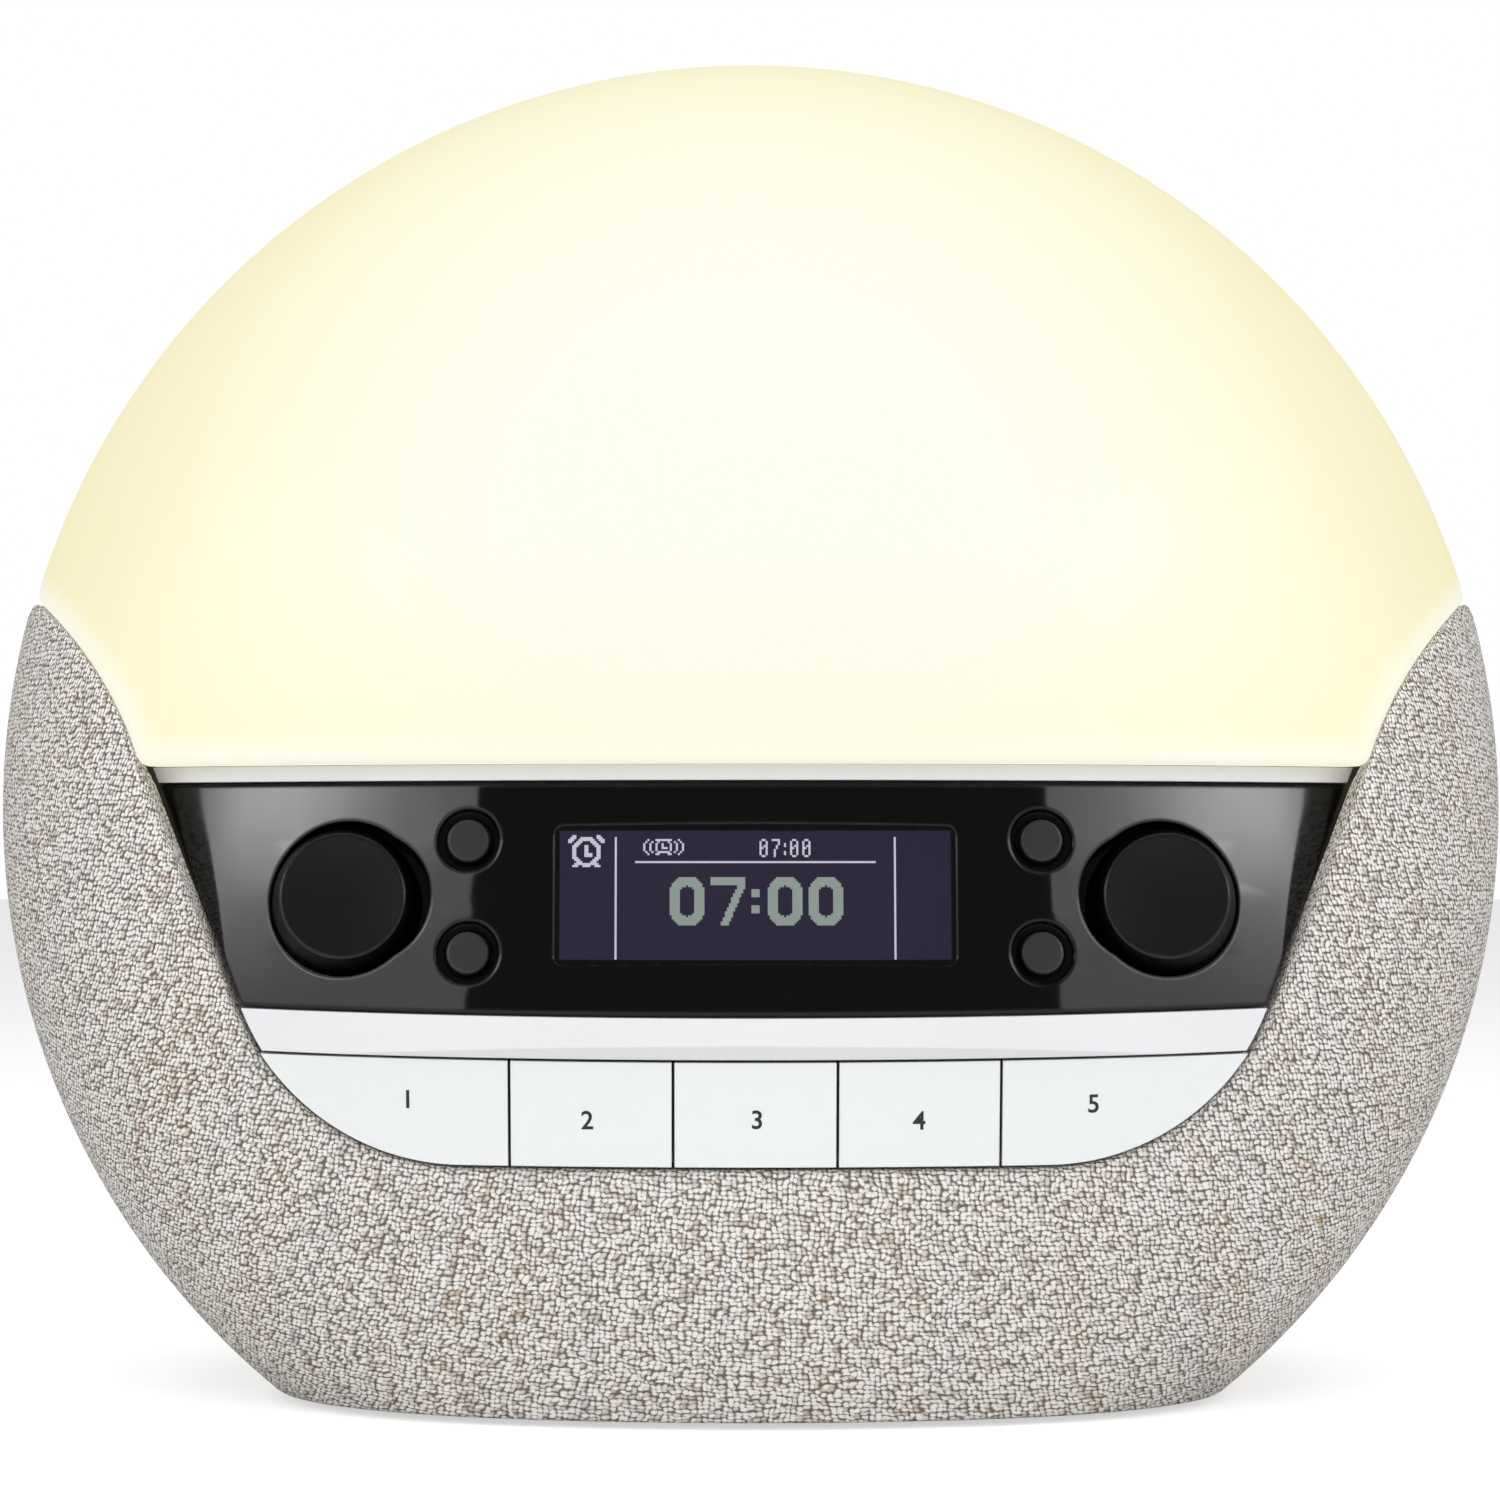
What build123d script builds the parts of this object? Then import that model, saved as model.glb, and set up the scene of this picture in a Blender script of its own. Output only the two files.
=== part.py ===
from build123d import *
from math import cos, radians, sin, sqrt, tan
import os

# Sunrise alarm clock: an opal light dome in a fabric-covered cradle, with a
# leaning control panel and five preset keys in the cradle's U-shaped opening.
# Millimetres.  X to the right, Y to the back, Z up.  The origin lies on the
# surface that the clock stands on, below the middle of the body.

os.makedirs("parts", exist_ok=True)

# ---------------------------------------------------------------- dimensions
# Whole body: a pebble turned about a front-to-back axis
body_radius = 112.5          # outline of the fabric, seen from the front
body_depth = 130.0           # front nose to back nose
girdle_radius = 45.0         # section radius where front and back meet
body_sunk = 24.5             # as much of the pebble is cut off below the table
centre_height = body_radius - body_sunk
half_depth = body_depth / 2
fabric_bottom = 1.0          # lower edge of the fabric above the table

# Cradle
fabric_thickness = 1.0
shell_wall = 2.2
shell_bottom = 1.5
chassis_gap = 0.3            # chassis to the walls round it

# U-shaped opening of the cradle, at the fabric's edge
opening_floor = 38.1
opening_margin = 48.7        # body's outline to where floor and side lines cross
opening_corner_x = body_radius - opening_margin
opening_corner_radius = 34.5
side_angle = 22.5            # side line from the vertical
wing_bend_height = 97.5      # where the side line starts to bend outwards
wing_bend_radius = 48.0
wing_tip_radius = 3.0
rim_overrun = 0.05           # roundings end this far outside the body, not on it

# Dome and rear housing
dome_step = 0.5              # dome surface below the fabric surface
dome_wall = 2.5
dome_gap = 0.8               # dome edge to fabric edge
dome_floor = 94.1
dome_corner_radius = 2.0
dome_rim_radius = 4.5        # rounding of the rim, seen from the front
seam_depth = 8.0             # dome meets rear housing behind the middle plane
seam_gap = 0.2
housing_wall = 2.3
housing_gap = 0.8            # housing edge to fabric edge

# Fascia: everything between dome and fabric, curved in plan
panel_setback = 2.6          # front nose to the panel's lower edge, at the middle
fascia_front = panel_setback - half_depth
fascia_plan_radius = 160.0
fascia_side_gap = 0.9        # fascia pieces to the fabric edge
panel_bottom = 59.4
panel_top = 91.3
panel_lean = 8.0
panel_wall = 2.5
edge_tilt = 2.6              # lower edges rise this much towards the back
trim_gap = 0.3
trim_wall = 2.5
top_trim_top = 93.8
top_trim_proud = 0.9
lower_trim_bottom = 53.3
lower_trim_proud = 0.2
lip_height = 55.3            # where the lower strip's bevel starts
bevel_run = 1.8              # how far the bevel goes back
key_plan_radius = 183.5

# Knobs and small buttons
knob_margin = 6.8            # knob's axis to the opening's corner
knob_x = opening_corner_x - knob_margin
knob_rise = 16.0             # along the panel, from its lower edge
knob_radius = 10.3
knob_face_radius = 8.8
knob_height = 8.2
knob_skirt = 1.8
knob_dish = 0.6
push_travel = 0.5            # knobs press in this far
pocket_radius = 10.9
pocket_depth = 5.7
bulge_radius = 9.1
bulge_shift = 3.2
cup_wall = 1.4
shaft_run = 0.05             # shaft's end to the plunger that it pushes
button_spacing = 17.5        # small buttons to the knob's axis
button_x = knob_x - button_spacing
button_rises = (8.6, 24.2)
button_radius = 2.95
button_gap = 0.3
button_travel = 0.5
recess_radius = 4.4
recess_depth = 2.6
panel_edge = 0.35            # chamfer round the panel

# Display
window_width = 55.0
window_height = 19.2
window_corner = 1.2
window_rise = 16.8
module_width = 58.0
module_height = 22.5
module_thickness = 4.5
module_corner = 1.0
module_edge = 0.4
standoff_inset = 3.0
boss_x = 31.6                # bosses that carry the control board
boss_rise = 16.4
boss_radius = 1.9

# Keys
key_pitch = 22.5
key_gap = 0.4
key_side_gap = 0.5
key_top = 52.9
key_setback = 1.7            # panel's lower edge to the keys' upper edge
key_undercut = 1.9           # how much further back the keys' lower edge is
key_wall = 2.2
key_travel = 0.6
key_stem_width = 4.0
key_stem_height = 3.0
key_stem_x = (-45.0, -22.5, 0.0, 22.5, 45.0)
key_stem_height_z = 46.5

# Boards and switches
board_thickness = 1.6
board_corner = 1.5
switch_size = 6.0
switch_height = 3.5
plunger_radius = 1.5
plunger_height = 1.0
moving_gap = 0.3             # between pieces that move apart or together
key_board_setback = 22.4     # panel's lower edge to the key board
key_board_length = 112.0
key_board_bottom = 40.5
key_board_top = 52.6

# Encoders
shaft_radius = 3.0
shaft_fit = 0.06
bushing_radius = 4.0
bushing_fit = 0.1
encoder_width = 12.0
encoder_height = 6.5
encoder_floor_gap = 0.3
encoder_wall = 1.0

# Chassis, lamp and rear
chassis_wall = 3.0
post_radius = 3.6
screw_radius = 1.5
screw_head_radius = 2.8
screw_head_height = 1.8
screw_clearance = 0.2
base_wall = 2.2
chassis_foot_gap = 0.2       # chassis above the base plate
main_board_width = 100.0
main_board_low = 14.0
main_board_high = 54.0
stud_inset = 6.0             # board screws to the board's edges
foot_radius = 6.0
foot_x = 40.0
foot_y = 20.0
foot_recess = 0.6
foot_edge = 0.5
speaker_x = 46.0
speaker_height = 21.4
speaker_radius = 15.5
speaker_setback = 40.4       # panel's lower edge to the speakers' faces
speaker_room = 22.0          # speakers' faces to the chassis
duct_wall = 1.5
duct_gap = 0.4

# ------------------------------------------------------------ derived places
girdle_centre = body_radius - girdle_radius
nose_radius = (girdle_centre**2 + half_depth**2 - girdle_radius**2) / (2 * (half_depth - girdle_radius))
lean_rise = tan(radians(panel_lean))
body_axis = Axis((0, 0, centre_height), (0, 1, 0))
fascia_axis_y = fascia_front + fascia_plan_radius
shell_inset = fabric_thickness + shell_wall
dome_inset = dome_step + dome_wall
housing_inset = dome_step + housing_wall
knob_lift = push_travel + moving_gap     # knob above its pocket floor at rest
key_face_top = fascia_front + key_setback
key_face_bottom = key_face_top + key_undercut
key_board_front = fascia_front + key_board_setback
speaker_face = fascia_front + speaker_setback
chassis_front = speaker_face + speaker_room
chassis_back = chassis_front + chassis_wall
base_top = shell_bottom + base_wall


def save(part, label):
    """Name a finished piece and write it to its own file."""
    part.label = label
    export_step(part, f"parts/{label}.step")


def box_between(low, high):
    """Plain block between two corners, for trimming."""
    with BuildPart(mode=Mode.PRIVATE) as block:
        with Locations(tuple((a + b) / 2 for a, b in zip(low, high))):
            Box(*(b - a for a, b in zip(low, high)))
    return block.part


def rounded_body(inset):
    """The pebble as a solid, `inset` below the fabric's surface."""
    nose = nose_radius - inset
    girdle = girdle_radius - inset
    nose_centre = nose_radius - half_depth
    split_x = -girdle * nose_centre / (nose_radius - girdle_radius)
    split_z = girdle_centre + girdle * girdle_centre / (nose_radius - girdle_radius)
    with BuildPart(mode=Mode.PRIVATE) as blank:
        with BuildSketch(Plane.YZ):
            with BuildLine():
                front_nose = (inset - half_depth, centre_height)
                top = (0, centre_height + body_radius - inset)
                front_split = (split_x, centre_height + split_z)
                nose_arc = RadiusArc(front_nose, front_split, nose)
                TangentArc(nose_arc @ 1, top, tangent=nose_arc % 1)
                mirror(about=Plane.YZ)
                Line(front_nose, (half_depth - inset, centre_height))
            make_face()
        revolve(axis=body_axis)
    return blank.part


def circles_cross(centre_a, radius_a, centre_b, radius_b):
    """Upper crossing point of two circles."""
    ax, az = centre_a
    dx, dz = centre_b[0] - ax, centre_b[1] - az
    apart = sqrt(dx**2 + dz**2)
    along = (apart**2 + radius_a**2 - radius_b**2) / (2 * apart)
    across = sqrt(radius_a**2 - along**2)
    return (ax + (along * dx - across * dz) / apart, az + (along * dz + across * dx) / apart)


def opening_outline(inset, rim_radius, outer_radius, outward):
    """Face of the cradle's opening, `inset` inside the fabric's edge.

    At the girdle its edge turns up the body's outline when `outward` is 1, as
    round the rim of the dome, or down it when `outward` is -1, as over the tip
    of the cradle's wing.
    """
    slope = radians(side_angle)
    right = Vector(cos(slope), -sin(slope))
    corner_run = opening_corner_radius * tan(radians(90 - side_angle) / 2)
    bend_x = opening_corner_x + (wing_bend_height - opening_floor) * tan(slope)
    bend_start = Vector(bend_x, wing_bend_height) - right * inset
    bend_centre = Vector(bend_x, wing_bend_height) + right * wing_bend_radius
    bend_radius = wing_bend_radius + inset
    outer_radius += rim_overrun
    middle = Vector(0, centre_height)
    rim = Vector(*circles_cross(
        (middle.X, middle.Y), outer_radius - rim_radius,
        (bend_centre.X, bend_centre.Y), bend_radius + outward * rim_radius))
    rim_start = bend_centre + (rim - bend_centre) * (bend_radius / (bend_radius + outward * rim_radius))
    rim_end = middle + (rim - middle) * (outer_radius / (outer_radius - rim_radius))
    up_the_rim = Vector(middle.Y - rim_end.Y, rim_end.X).normalized() * outward
    beyond = outer_radius * 1.3
    with BuildSketch(Plane.XZ, mode=Mode.PRIVATE) as face:
        with BuildLine():
            floor_height = opening_floor + inset
            floor_line = Line((0, floor_height), (opening_corner_x - corner_run, floor_height))
            corner = JernArc(floor_line @ 1, floor_line % 1, opening_corner_radius - inset, 90 - side_angle)
            side = Line(corner @ 1, bend_start)
            bend = TangentArc(side @ 1, rim_start, tangent=side % 1)
            round_rim = TangentArc(bend @ 1, rim_end, tangent=bend % 1)
            leave = Line(round_rim @ 1, rim_end + up_the_rim * (rim_radius * 3))
            away = (beyond, (leave @ 1).Y)
            Polyline(leave @ 1, away, (beyond, centre_height + beyond), (0, centre_height + beyond))
            mirror(about=Plane.YZ)
        make_face()
    return face.sketch


def prism(face, front, back):
    """The face swept straight along Y between two depths."""
    with BuildPart(mode=Mode.PRIVATE) as block:
        extrude(face.moved(Location((0, front, 0))), amount=front - back)
    return block.part


def fascia_ring(outline, plan_radius, middle_front=fascia_front):
    """Ring with the outline, given as (y, z) at the middle, as its section.

    The turn starts at the far side, so that no seam crosses the middle of the front.
    """
    axis_y = middle_front + plan_radius
    with BuildPart(mode=Mode.PRIVATE) as ring:
        with BuildSketch(Plane.YZ):
            with BuildLine():
                Polyline(*[(2 * axis_y - y, z) for y, z in outline], close=True)
            make_face()
        revolve(axis=Axis((0, axis_y, 0), (0, 0, 1)))
    return ring.part


def tilted_seam(height):
    """Cutting plane of a lower edge that passes the middle at `height`."""
    tilt = radians(edge_tilt)
    return Plane((0, fascia_front, height), x_dir=(1, 0, 0), z_dir=(0, -sin(tilt), cos(tilt)))


def control_plane(x, rise, depth=0.0):
    """Plane square to the knobs' axes, `depth` behind the panel's surface."""
    lean = radians(panel_lean)
    front = fascia_front + rise * sin(lean)
    radius = fascia_axis_y - front
    surface = Vector(x, fascia_axis_y - sqrt(radius**2 - x**2), panel_bottom + rise * cos(lean))
    outward = Vector(0, -cos(lean), sin(lean))
    return Plane(surface - outward * depth, x_dir=(1, 0, 0), z_dir=outward)


def section_of(plane):
    """Plane through another plane's normal: local x is radius, local y height."""
    return Plane(plane.origin, x_dir=plane.x_dir, z_dir=-plane.y_dir)


# ------------------------------------------------------------ cutting shapes
fabric_opening = opening_outline(0, wing_tip_radius, body_radius, -1)
shell_opening = opening_outline(
    -fabric_thickness, wing_tip_radius - fabric_thickness, body_radius - fabric_thickness, -1)
housing_opening = opening_outline(housing_gap, dome_rim_radius, body_radius - dome_step, 1)
dome_opening = opening_outline(dome_gap, dome_rim_radius, body_radius - dome_step, 1)
fascia_opening = opening_outline(fascia_side_gap, dome_rim_radius, body_radius - dome_step, 1)
key_opening = opening_outline(key_side_gap, dome_rim_radius, body_radius - dome_step, 1)
far = body_radius * 1.5


def dome_face(inset):
    """The dome's outline seen from the front, `inset` inside its edge."""
    with BuildSketch(Plane.XZ, mode=Mode.PRIVATE) as face:
        add(dome_opening)
        with Locations((0, dome_floor)):
            Rectangle(4 * far, far, align=(Align.CENTER, Align.MIN), mode=Mode.INTERSECT)
        fillet(face.vertices().group_by(Axis.Y)[0], dome_corner_radius)
        if inset:
            offset(amount=-inset, kind=Kind.INTERSECTION)
    return face.sketch


# ------------------------------------------------------------------- cradle
with BuildPart() as cradle_hollow:
    add(rounded_body(shell_inset))

with BuildPart() as cradle_shell:
    add(rounded_body(fabric_thickness))
    add(cradle_hollow.part, mode=Mode.SUBTRACT)
    add(prism(shell_opening, -far, far), mode=Mode.SUBTRACT)
    split(bisect_by=Plane.XY.offset(shell_bottom), keep=Keep.TOP)
bare_shell = cradle_shell.part

with BuildPart() as fabric_cover:
    add(rounded_body(0))
    add(cradle_hollow.part, mode=Mode.SUBTRACT)
    add(prism(fabric_opening, -far, far), mode=Mode.SUBTRACT)
    split(bisect_by=Plane.XY.offset(fabric_bottom), keep=Keep.TOP)
    add(bare_shell, mode=Mode.SUBTRACT)
save(fabric_cover.part, "fabric_cover")

# --------------------------------------------------------------------- dome
with BuildPart() as dome_cavity:
    add(rounded_body(dome_inset))
    add(prism(dome_face(dome_wall), -far, far), mode=Mode.INTERSECT)

with BuildPart() as chassis_space:
    add(rounded_body(dome_inset))
    split(bisect_by=Plane.XZ.offset(chassis_gap - chassis_front), keep=Keep.BOTTOM)

with BuildPart() as diffuser_dome:
    add(rounded_body(dome_step))
    add(prism(dome_face(0), -far, far), mode=Mode.INTERSECT)
    split(bisect_by=Plane.XZ.offset(-seam_depth), keep=Keep.TOP)
    add(dome_cavity.part, mode=Mode.SUBTRACT)
    add(chassis_space.part, mode=Mode.SUBTRACT)
save(diffuser_dome.part, "diffuser_dome")

# ------------------------------------------------------------------- fascia
panel_back = fascia_front + panel_wall


def leaning(height, front=fascia_front):
    """Depth of the leaning panel line at a height."""
    return front + (height - panel_bottom) * lean_rise


def fascia_piece(outline, opening, plan_radius=fascia_plan_radius, middle_front=fascia_front):
    """Ring section trimmed to the cradle's opening."""
    with BuildPart(mode=Mode.PRIVATE) as piece:
        add(fascia_ring(outline, plan_radius, middle_front))
        add(prism(opening, -far, 0), mode=Mode.INTERSECT)
    return piece.part


panel_low = panel_bottom - trim_gap * 4
trim_back = fascia_front + trim_wall
panel_outline = [
    (leaning(panel_low), panel_low), (leaning(panel_top), panel_top),
    (leaning(panel_top, panel_back), panel_top), (leaning(panel_low, panel_back), panel_low)]
panel_depth = panel_back + far / 4
solid_outline = panel_outline[:2] + [(panel_depth, panel_top), (panel_depth, panel_low)]


def pocket_face(side, depth, spread=0.0):
    """Outline of a knob's pocket: a circle with a finger bulge towards the middle."""
    with BuildSketch(control_plane(side * knob_x, knob_rise, depth), mode=Mode.PRIVATE) as face:
        Circle(pocket_radius + spread)
        with Locations((-side * bulge_shift, 0)):
            Circle(bulge_radius + spread)
    return face.sketch


def round_face(plane, radius):
    with BuildSketch(plane, mode=Mode.PRIVATE) as face:
        Circle(radius)
    return face.sketch


encoder_back = pocket_depth + cup_wall + encoder_floor_gap + encoder_height


def board_plane():
    """Front face of the control board, seated behind the encoders."""
    plane = control_plane(knob_x, knob_rise, encoder_back)
    return Plane((0, plane.origin.Y, plane.origin.Z), x_dir=plane.x_dir, z_dir=plane.z_dir)


def depth_to_board(plane):
    """Distance from a control's plane back to the board."""
    board = board_plane()
    return (plane.origin - board.origin).dot(board.z_dir)


sides = {"left": -1, "right": 1}
rows = dict(zip(("lower", "upper"), button_rises))
knob_floor = pocket_depth + cup_wall
button_floor = recess_depth + cup_wall
deep = pocket_depth * 3

with BuildPart() as panel_solid:
    add(fascia_piece(solid_outline, fascia_opening))
    split(bisect_by=tilted_seam(panel_bottom), keep=Keep.TOP)

with BuildPart() as cups:
    for side in sides.values():
        extrude(pocket_face(side, knob_floor, cup_wall), amount=deep)
        for rise in button_rises:
            cup_plane = control_plane(side * button_x, rise, button_floor)
            extrude(round_face(cup_plane, recess_radius + cup_wall), amount=deep)
        boss_top = control_plane(side * boss_x, boss_rise)
        boss_plane = control_plane(side * boss_x, boss_rise, depth_to_board(boss_top))
        extrude(round_face(boss_plane, boss_radius), amount=2 * deep)
    add(panel_solid.part, mode=Mode.INTERSECT)

with BuildPart() as window_prism:
    with BuildSketch(control_plane(0, window_rise, deep)):
        RectangleRounded(window_width, window_height, window_corner)
    extrude(amount=2 * deep)

with BuildPart() as panel_band:
    add(fascia_piece(panel_outline, fascia_opening))
    split(bisect_by=tilted_seam(panel_bottom), keep=Keep.TOP)
    front_face = panel_band.faces().sort_by(Axis.Y)[0]
    chamfer(front_face.edges(), panel_edge)

with BuildPart() as control_panel:
    add(panel_band.part)
    add(cups.part)
    add(window_prism.part, mode=Mode.SUBTRACT)
    for side in sides.values():
        extrude(pocket_face(side, pocket_depth), amount=deep, mode=Mode.SUBTRACT)
        shaft_plane = control_plane(side * knob_x, knob_rise, 2 * knob_floor)
        extrude(round_face(shaft_plane, bushing_radius + bushing_fit), amount=2 * deep, mode=Mode.SUBTRACT)
        for rise in button_rises:
            at = control_plane(side * button_x, rise, recess_depth)
            extrude(round_face(at, recess_radius), amount=deep, mode=Mode.SUBTRACT)
            extrude(round_face(at, button_radius + button_gap), amount=deep, both=True, mode=Mode.SUBTRACT)
save(control_panel.part, "control_panel")

with BuildPart() as display_window:
    add(panel_band.part)
    add(window_prism.part, mode=Mode.INTERSECT)
save(display_window.part, "display_window")

# Strips above and below the panel
with BuildPart() as top_trim_strip:
    trim_low = panel_top + trim_gap
    trim_front = leaning(trim_low) - top_trim_proud
    add(fascia_piece([
        (trim_front, trim_low), (trim_front, top_trim_top),
        (leaning(top_trim_top, panel_back), top_trim_top), (leaning(trim_low, panel_back), trim_low)],
        fascia_opening))
save(top_trim_strip.part, "top_trim_strip")

strip_front = fascia_front - lower_trim_proud
bevel_drop = lip_height - lower_trim_bottom
spare = panel_wall
with BuildPart() as bevel_cutter:
    steps = (-1, 2)
    bevel_line = [(strip_front + bevel_run * k, lip_height - bevel_drop * k) for k in steps]
    upper_end, lower_end = bevel_line
    bevel_clear = upper_end[0] - spare
    add(fascia_ring(bevel_line + [(bevel_clear, lower_end[1]), (bevel_clear, upper_end[1])], key_plan_radius))

with BuildPart() as lower_trim_strip:
    add(fascia_piece([
        (strip_front, panel_bottom + spare), (trim_back, panel_bottom + spare),
        (trim_back, lower_trim_bottom - spare), (strip_front, lower_trim_bottom - spare)], fascia_opening))
    split(bisect_by=tilted_seam(panel_bottom - trim_gap), keep=Keep.BOTTOM)
    split(bisect_by=tilted_seam(lower_trim_bottom), keep=Keep.TOP)
    add(bevel_cutter.part, mode=Mode.SUBTRACT)
save(lower_trim_strip.part, "lower_trim_strip")

# Frame behind panel, strips and keys
window_margin = 4.5
frame_lower_bar = 1.6
frame_upper_bar = 2.3
frame_wall = 2.0
frame_top = top_trim_top
key_back_top = key_face_top + key_wall
key_back_bottom = key_face_bottom + key_wall
key_room = key_travel + moving_gap * 2
frame_front_line = [
    (leaning(frame_top, panel_back), frame_top), (panel_back, panel_bottom),
    (panel_back, key_top + spare / 2), (key_back_top + key_room, key_top),
    (key_back_bottom + key_room, opening_floor)]
frame_outline = frame_front_line + [(y + frame_wall, z) for y, z in reversed(frame_front_line)]
post_rows = {90.0: knob_x + 13.0, 57.0: knob_x - 12.0}
post_spots = [(side * x, height) for height, x in post_rows.items() for side in (-1, 1)]
post_meeting = fascia_front + 32.4
post_thread = 9.0
frame_post_radius = 3.1
board_post_x = (-33.75, -11.25, 11.25, 33.75)
board_post_radius = 2.2
board_post_height = 50.0
stem_slot = [(x, key_stem_height_z) for x in key_stem_x]


def bar(x, height, radius, front, back):
    """Round bar along Y between two depths."""
    with BuildPart(mode=Mode.PRIVATE) as rod:
        with BuildSketch(Plane.XZ.offset(-front)):
            with Locations((x, height)):
                Circle(radius)
        extrude(amount=front - back)
    return rod.part


with BuildPart() as frame_fill:
    frame_middle_line = [(y + frame_wall / 2, z) for y, z in frame_front_line]
    fill_back = [(panel_depth, opening_floor), (panel_depth, frame_top)]
    add(fascia_piece(frame_middle_line + fill_back, fascia_opening))

with BuildPart() as frame_posts:
    for x, height in post_spots:
        add(bar(x, height, frame_post_radius, -half_depth, post_meeting))
    for x in board_post_x:
        add(bar(x, board_post_height, board_post_radius, -half_depth, key_board_front))
    add(frame_fill.part, mode=Mode.INTERSECT)

with BuildPart() as fascia_frame:
    add(fascia_piece(frame_outline, fascia_opening))
    with BuildSketch(Plane.XZ.offset(half_depth)):
        add(fascia_opening)
        offset(amount=-window_margin, kind=Kind.INTERSECTION)
        with Locations((0, panel_bottom + frame_lower_bar)):
            frame_clear = panel_top - panel_bottom - frame_lower_bar - frame_upper_bar
            Rectangle(2 * far, frame_clear, align=(Align.CENTER, Align.MIN), mode=Mode.INTERSECT)
    extrude(amount=-half_depth, mode=Mode.SUBTRACT)
    with BuildSketch(Plane.XZ.offset(half_depth)):
        with Locations(*stem_slot):
            Rectangle(key_stem_width + 2 * moving_gap, key_stem_height + 2 * moving_gap)
    extrude(amount=-half_depth, mode=Mode.SUBTRACT)
    add(frame_posts.part)
    for x, height in post_spots:
        add(bar(x, height, screw_radius, post_meeting - post_thread, post_meeting), mode=Mode.SUBTRACT)
save(fascia_frame.part, "fascia_frame")

# ---------------------------------------------------- knobs and their encoders
face_wall = 1.6
skirt_wall = 1.2
hub_step = 1.0
collar_step = 1.2            # shaft's collar, larger than the shaft
collar_depth = 2.2           # encoder's front face to the collar
cap_wall = 1.5               # encoder's front wall
plunger_cap = 1.0
case_corner = 0.8

for name, side in sides.items():
    floor_plane = control_plane(side * knob_x, knob_rise, pocket_depth - knob_lift)
    knob_section = section_of(floor_plane)
    knob_turn = Axis(floor_plane.origin, floor_plane.z_dir)
    hub_radius = shaft_radius + face_wall
    bore_depth = knob_height - knob_dish - face_wall
    edge_round = 0.45
    rim_radius = knob_face_radius - edge_round
    dish_radius = (rim_radius**2 + knob_dish**2) / (2 * knob_dish)

    def dish_point(radius):
        """Point of the dished face, which is part of a sphere on the knob's axis."""
        return (radius, knob_height - knob_dish + dish_radius - sqrt(dish_radius**2 - radius**2))

    with BuildPart() as knob:
        with BuildSketch(knob_section):
            with BuildLine():
                base = Polyline(
                    (shaft_radius, bore_depth), (shaft_radius, 0),
                    (hub_radius, 0), (hub_radius, bore_depth - hub_step),
                    (knob_face_radius - hub_step, bore_depth - hub_step),
                    (knob_radius - skirt_wall, 0), (knob_radius, 0),
                    (knob_radius, knob_skirt), (knob_face_radius, knob_height - edge_round))
                rounded = ThreePointArc(
                    base @ 1, (knob_face_radius - edge_round * 0.25, knob_height - edge_round * 0.25),
                    (knob_face_radius - edge_round, knob_height))
                dish = ThreePointArc(rounded @ 1, dish_point(rim_radius / 2), dish_point(0))
                Polyline(dish @ 1, (0, bore_depth), (shaft_radius, bore_depth))
            make_face()
        revolve(axis=knob_turn)
    save(knob.part, f"{name}_knob")

    bush_top = knob_lift
    body_top = knob_lift + cup_wall + encoder_floor_gap
    shaft_end = body_top + encoder_height - encoder_wall - plunger_height - cap_wall
    with BuildPart() as encoder_shaft:
        with BuildSketch(knob_section):
            with BuildLine():
                collar = shaft_radius + collar_step
                collar_top = -body_top - collar_depth
                Polyline(
                    (0, bore_depth), (shaft_radius, bore_depth), (shaft_radius, collar_top),
                    (collar, collar_top), (collar, -shaft_end), (0, -shaft_end), close=True)
            make_face()
        revolve(axis=knob_turn)
    save(encoder_shaft.part, f"{name}_encoder_shaft")

    case_plane = control_plane(side * knob_x, knob_rise, pocket_depth - knob_lift + body_top)
    with BuildPart() as encoder_body:
        with BuildSketch(case_plane):
            RectangleRounded(encoder_width, encoder_width, case_corner)
        extrude(amount=-encoder_height)
        with BuildSketch(case_plane):
            Circle(bushing_radius)
        extrude(amount=body_top - bush_top)
        with BuildSketch(case_plane):
            Circle(shaft_radius + shaft_fit)
        extrude(amount=-encoder_height, both=True, mode=Mode.SUBTRACT)
        with BuildSketch(case_plane.offset(-cap_wall)):
            Circle(collar + moving_gap)
        extrude(amount=-encoder_height, mode=Mode.SUBTRACT)
    save(encoder_body.part, f"{name}_encoder_body")

    plunger_plane = control_plane(side * knob_x, knob_rise, pocket_depth - knob_lift + shaft_end + shaft_run)
    with BuildPart() as encoder_plunger:
        with BuildSketch(plunger_plane):
            Circle(collar)
        extrude(amount=-plunger_cap)
        with BuildSketch(plunger_plane):
            Circle(plunger_radius)
        extrude(amount=-cap_wall)
    save(encoder_plunger.part, f"{name}_encoder_plunger")

# ------------------------------------------------------------- small buttons
flange_step = 0.9
flange_radius = button_radius + flange_step
flange_height = 1.0
cap_round = 0.5
stem_radius = 1.3
switch_drop = switch_height + plunger_height + moving_gap + button_travel


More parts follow.
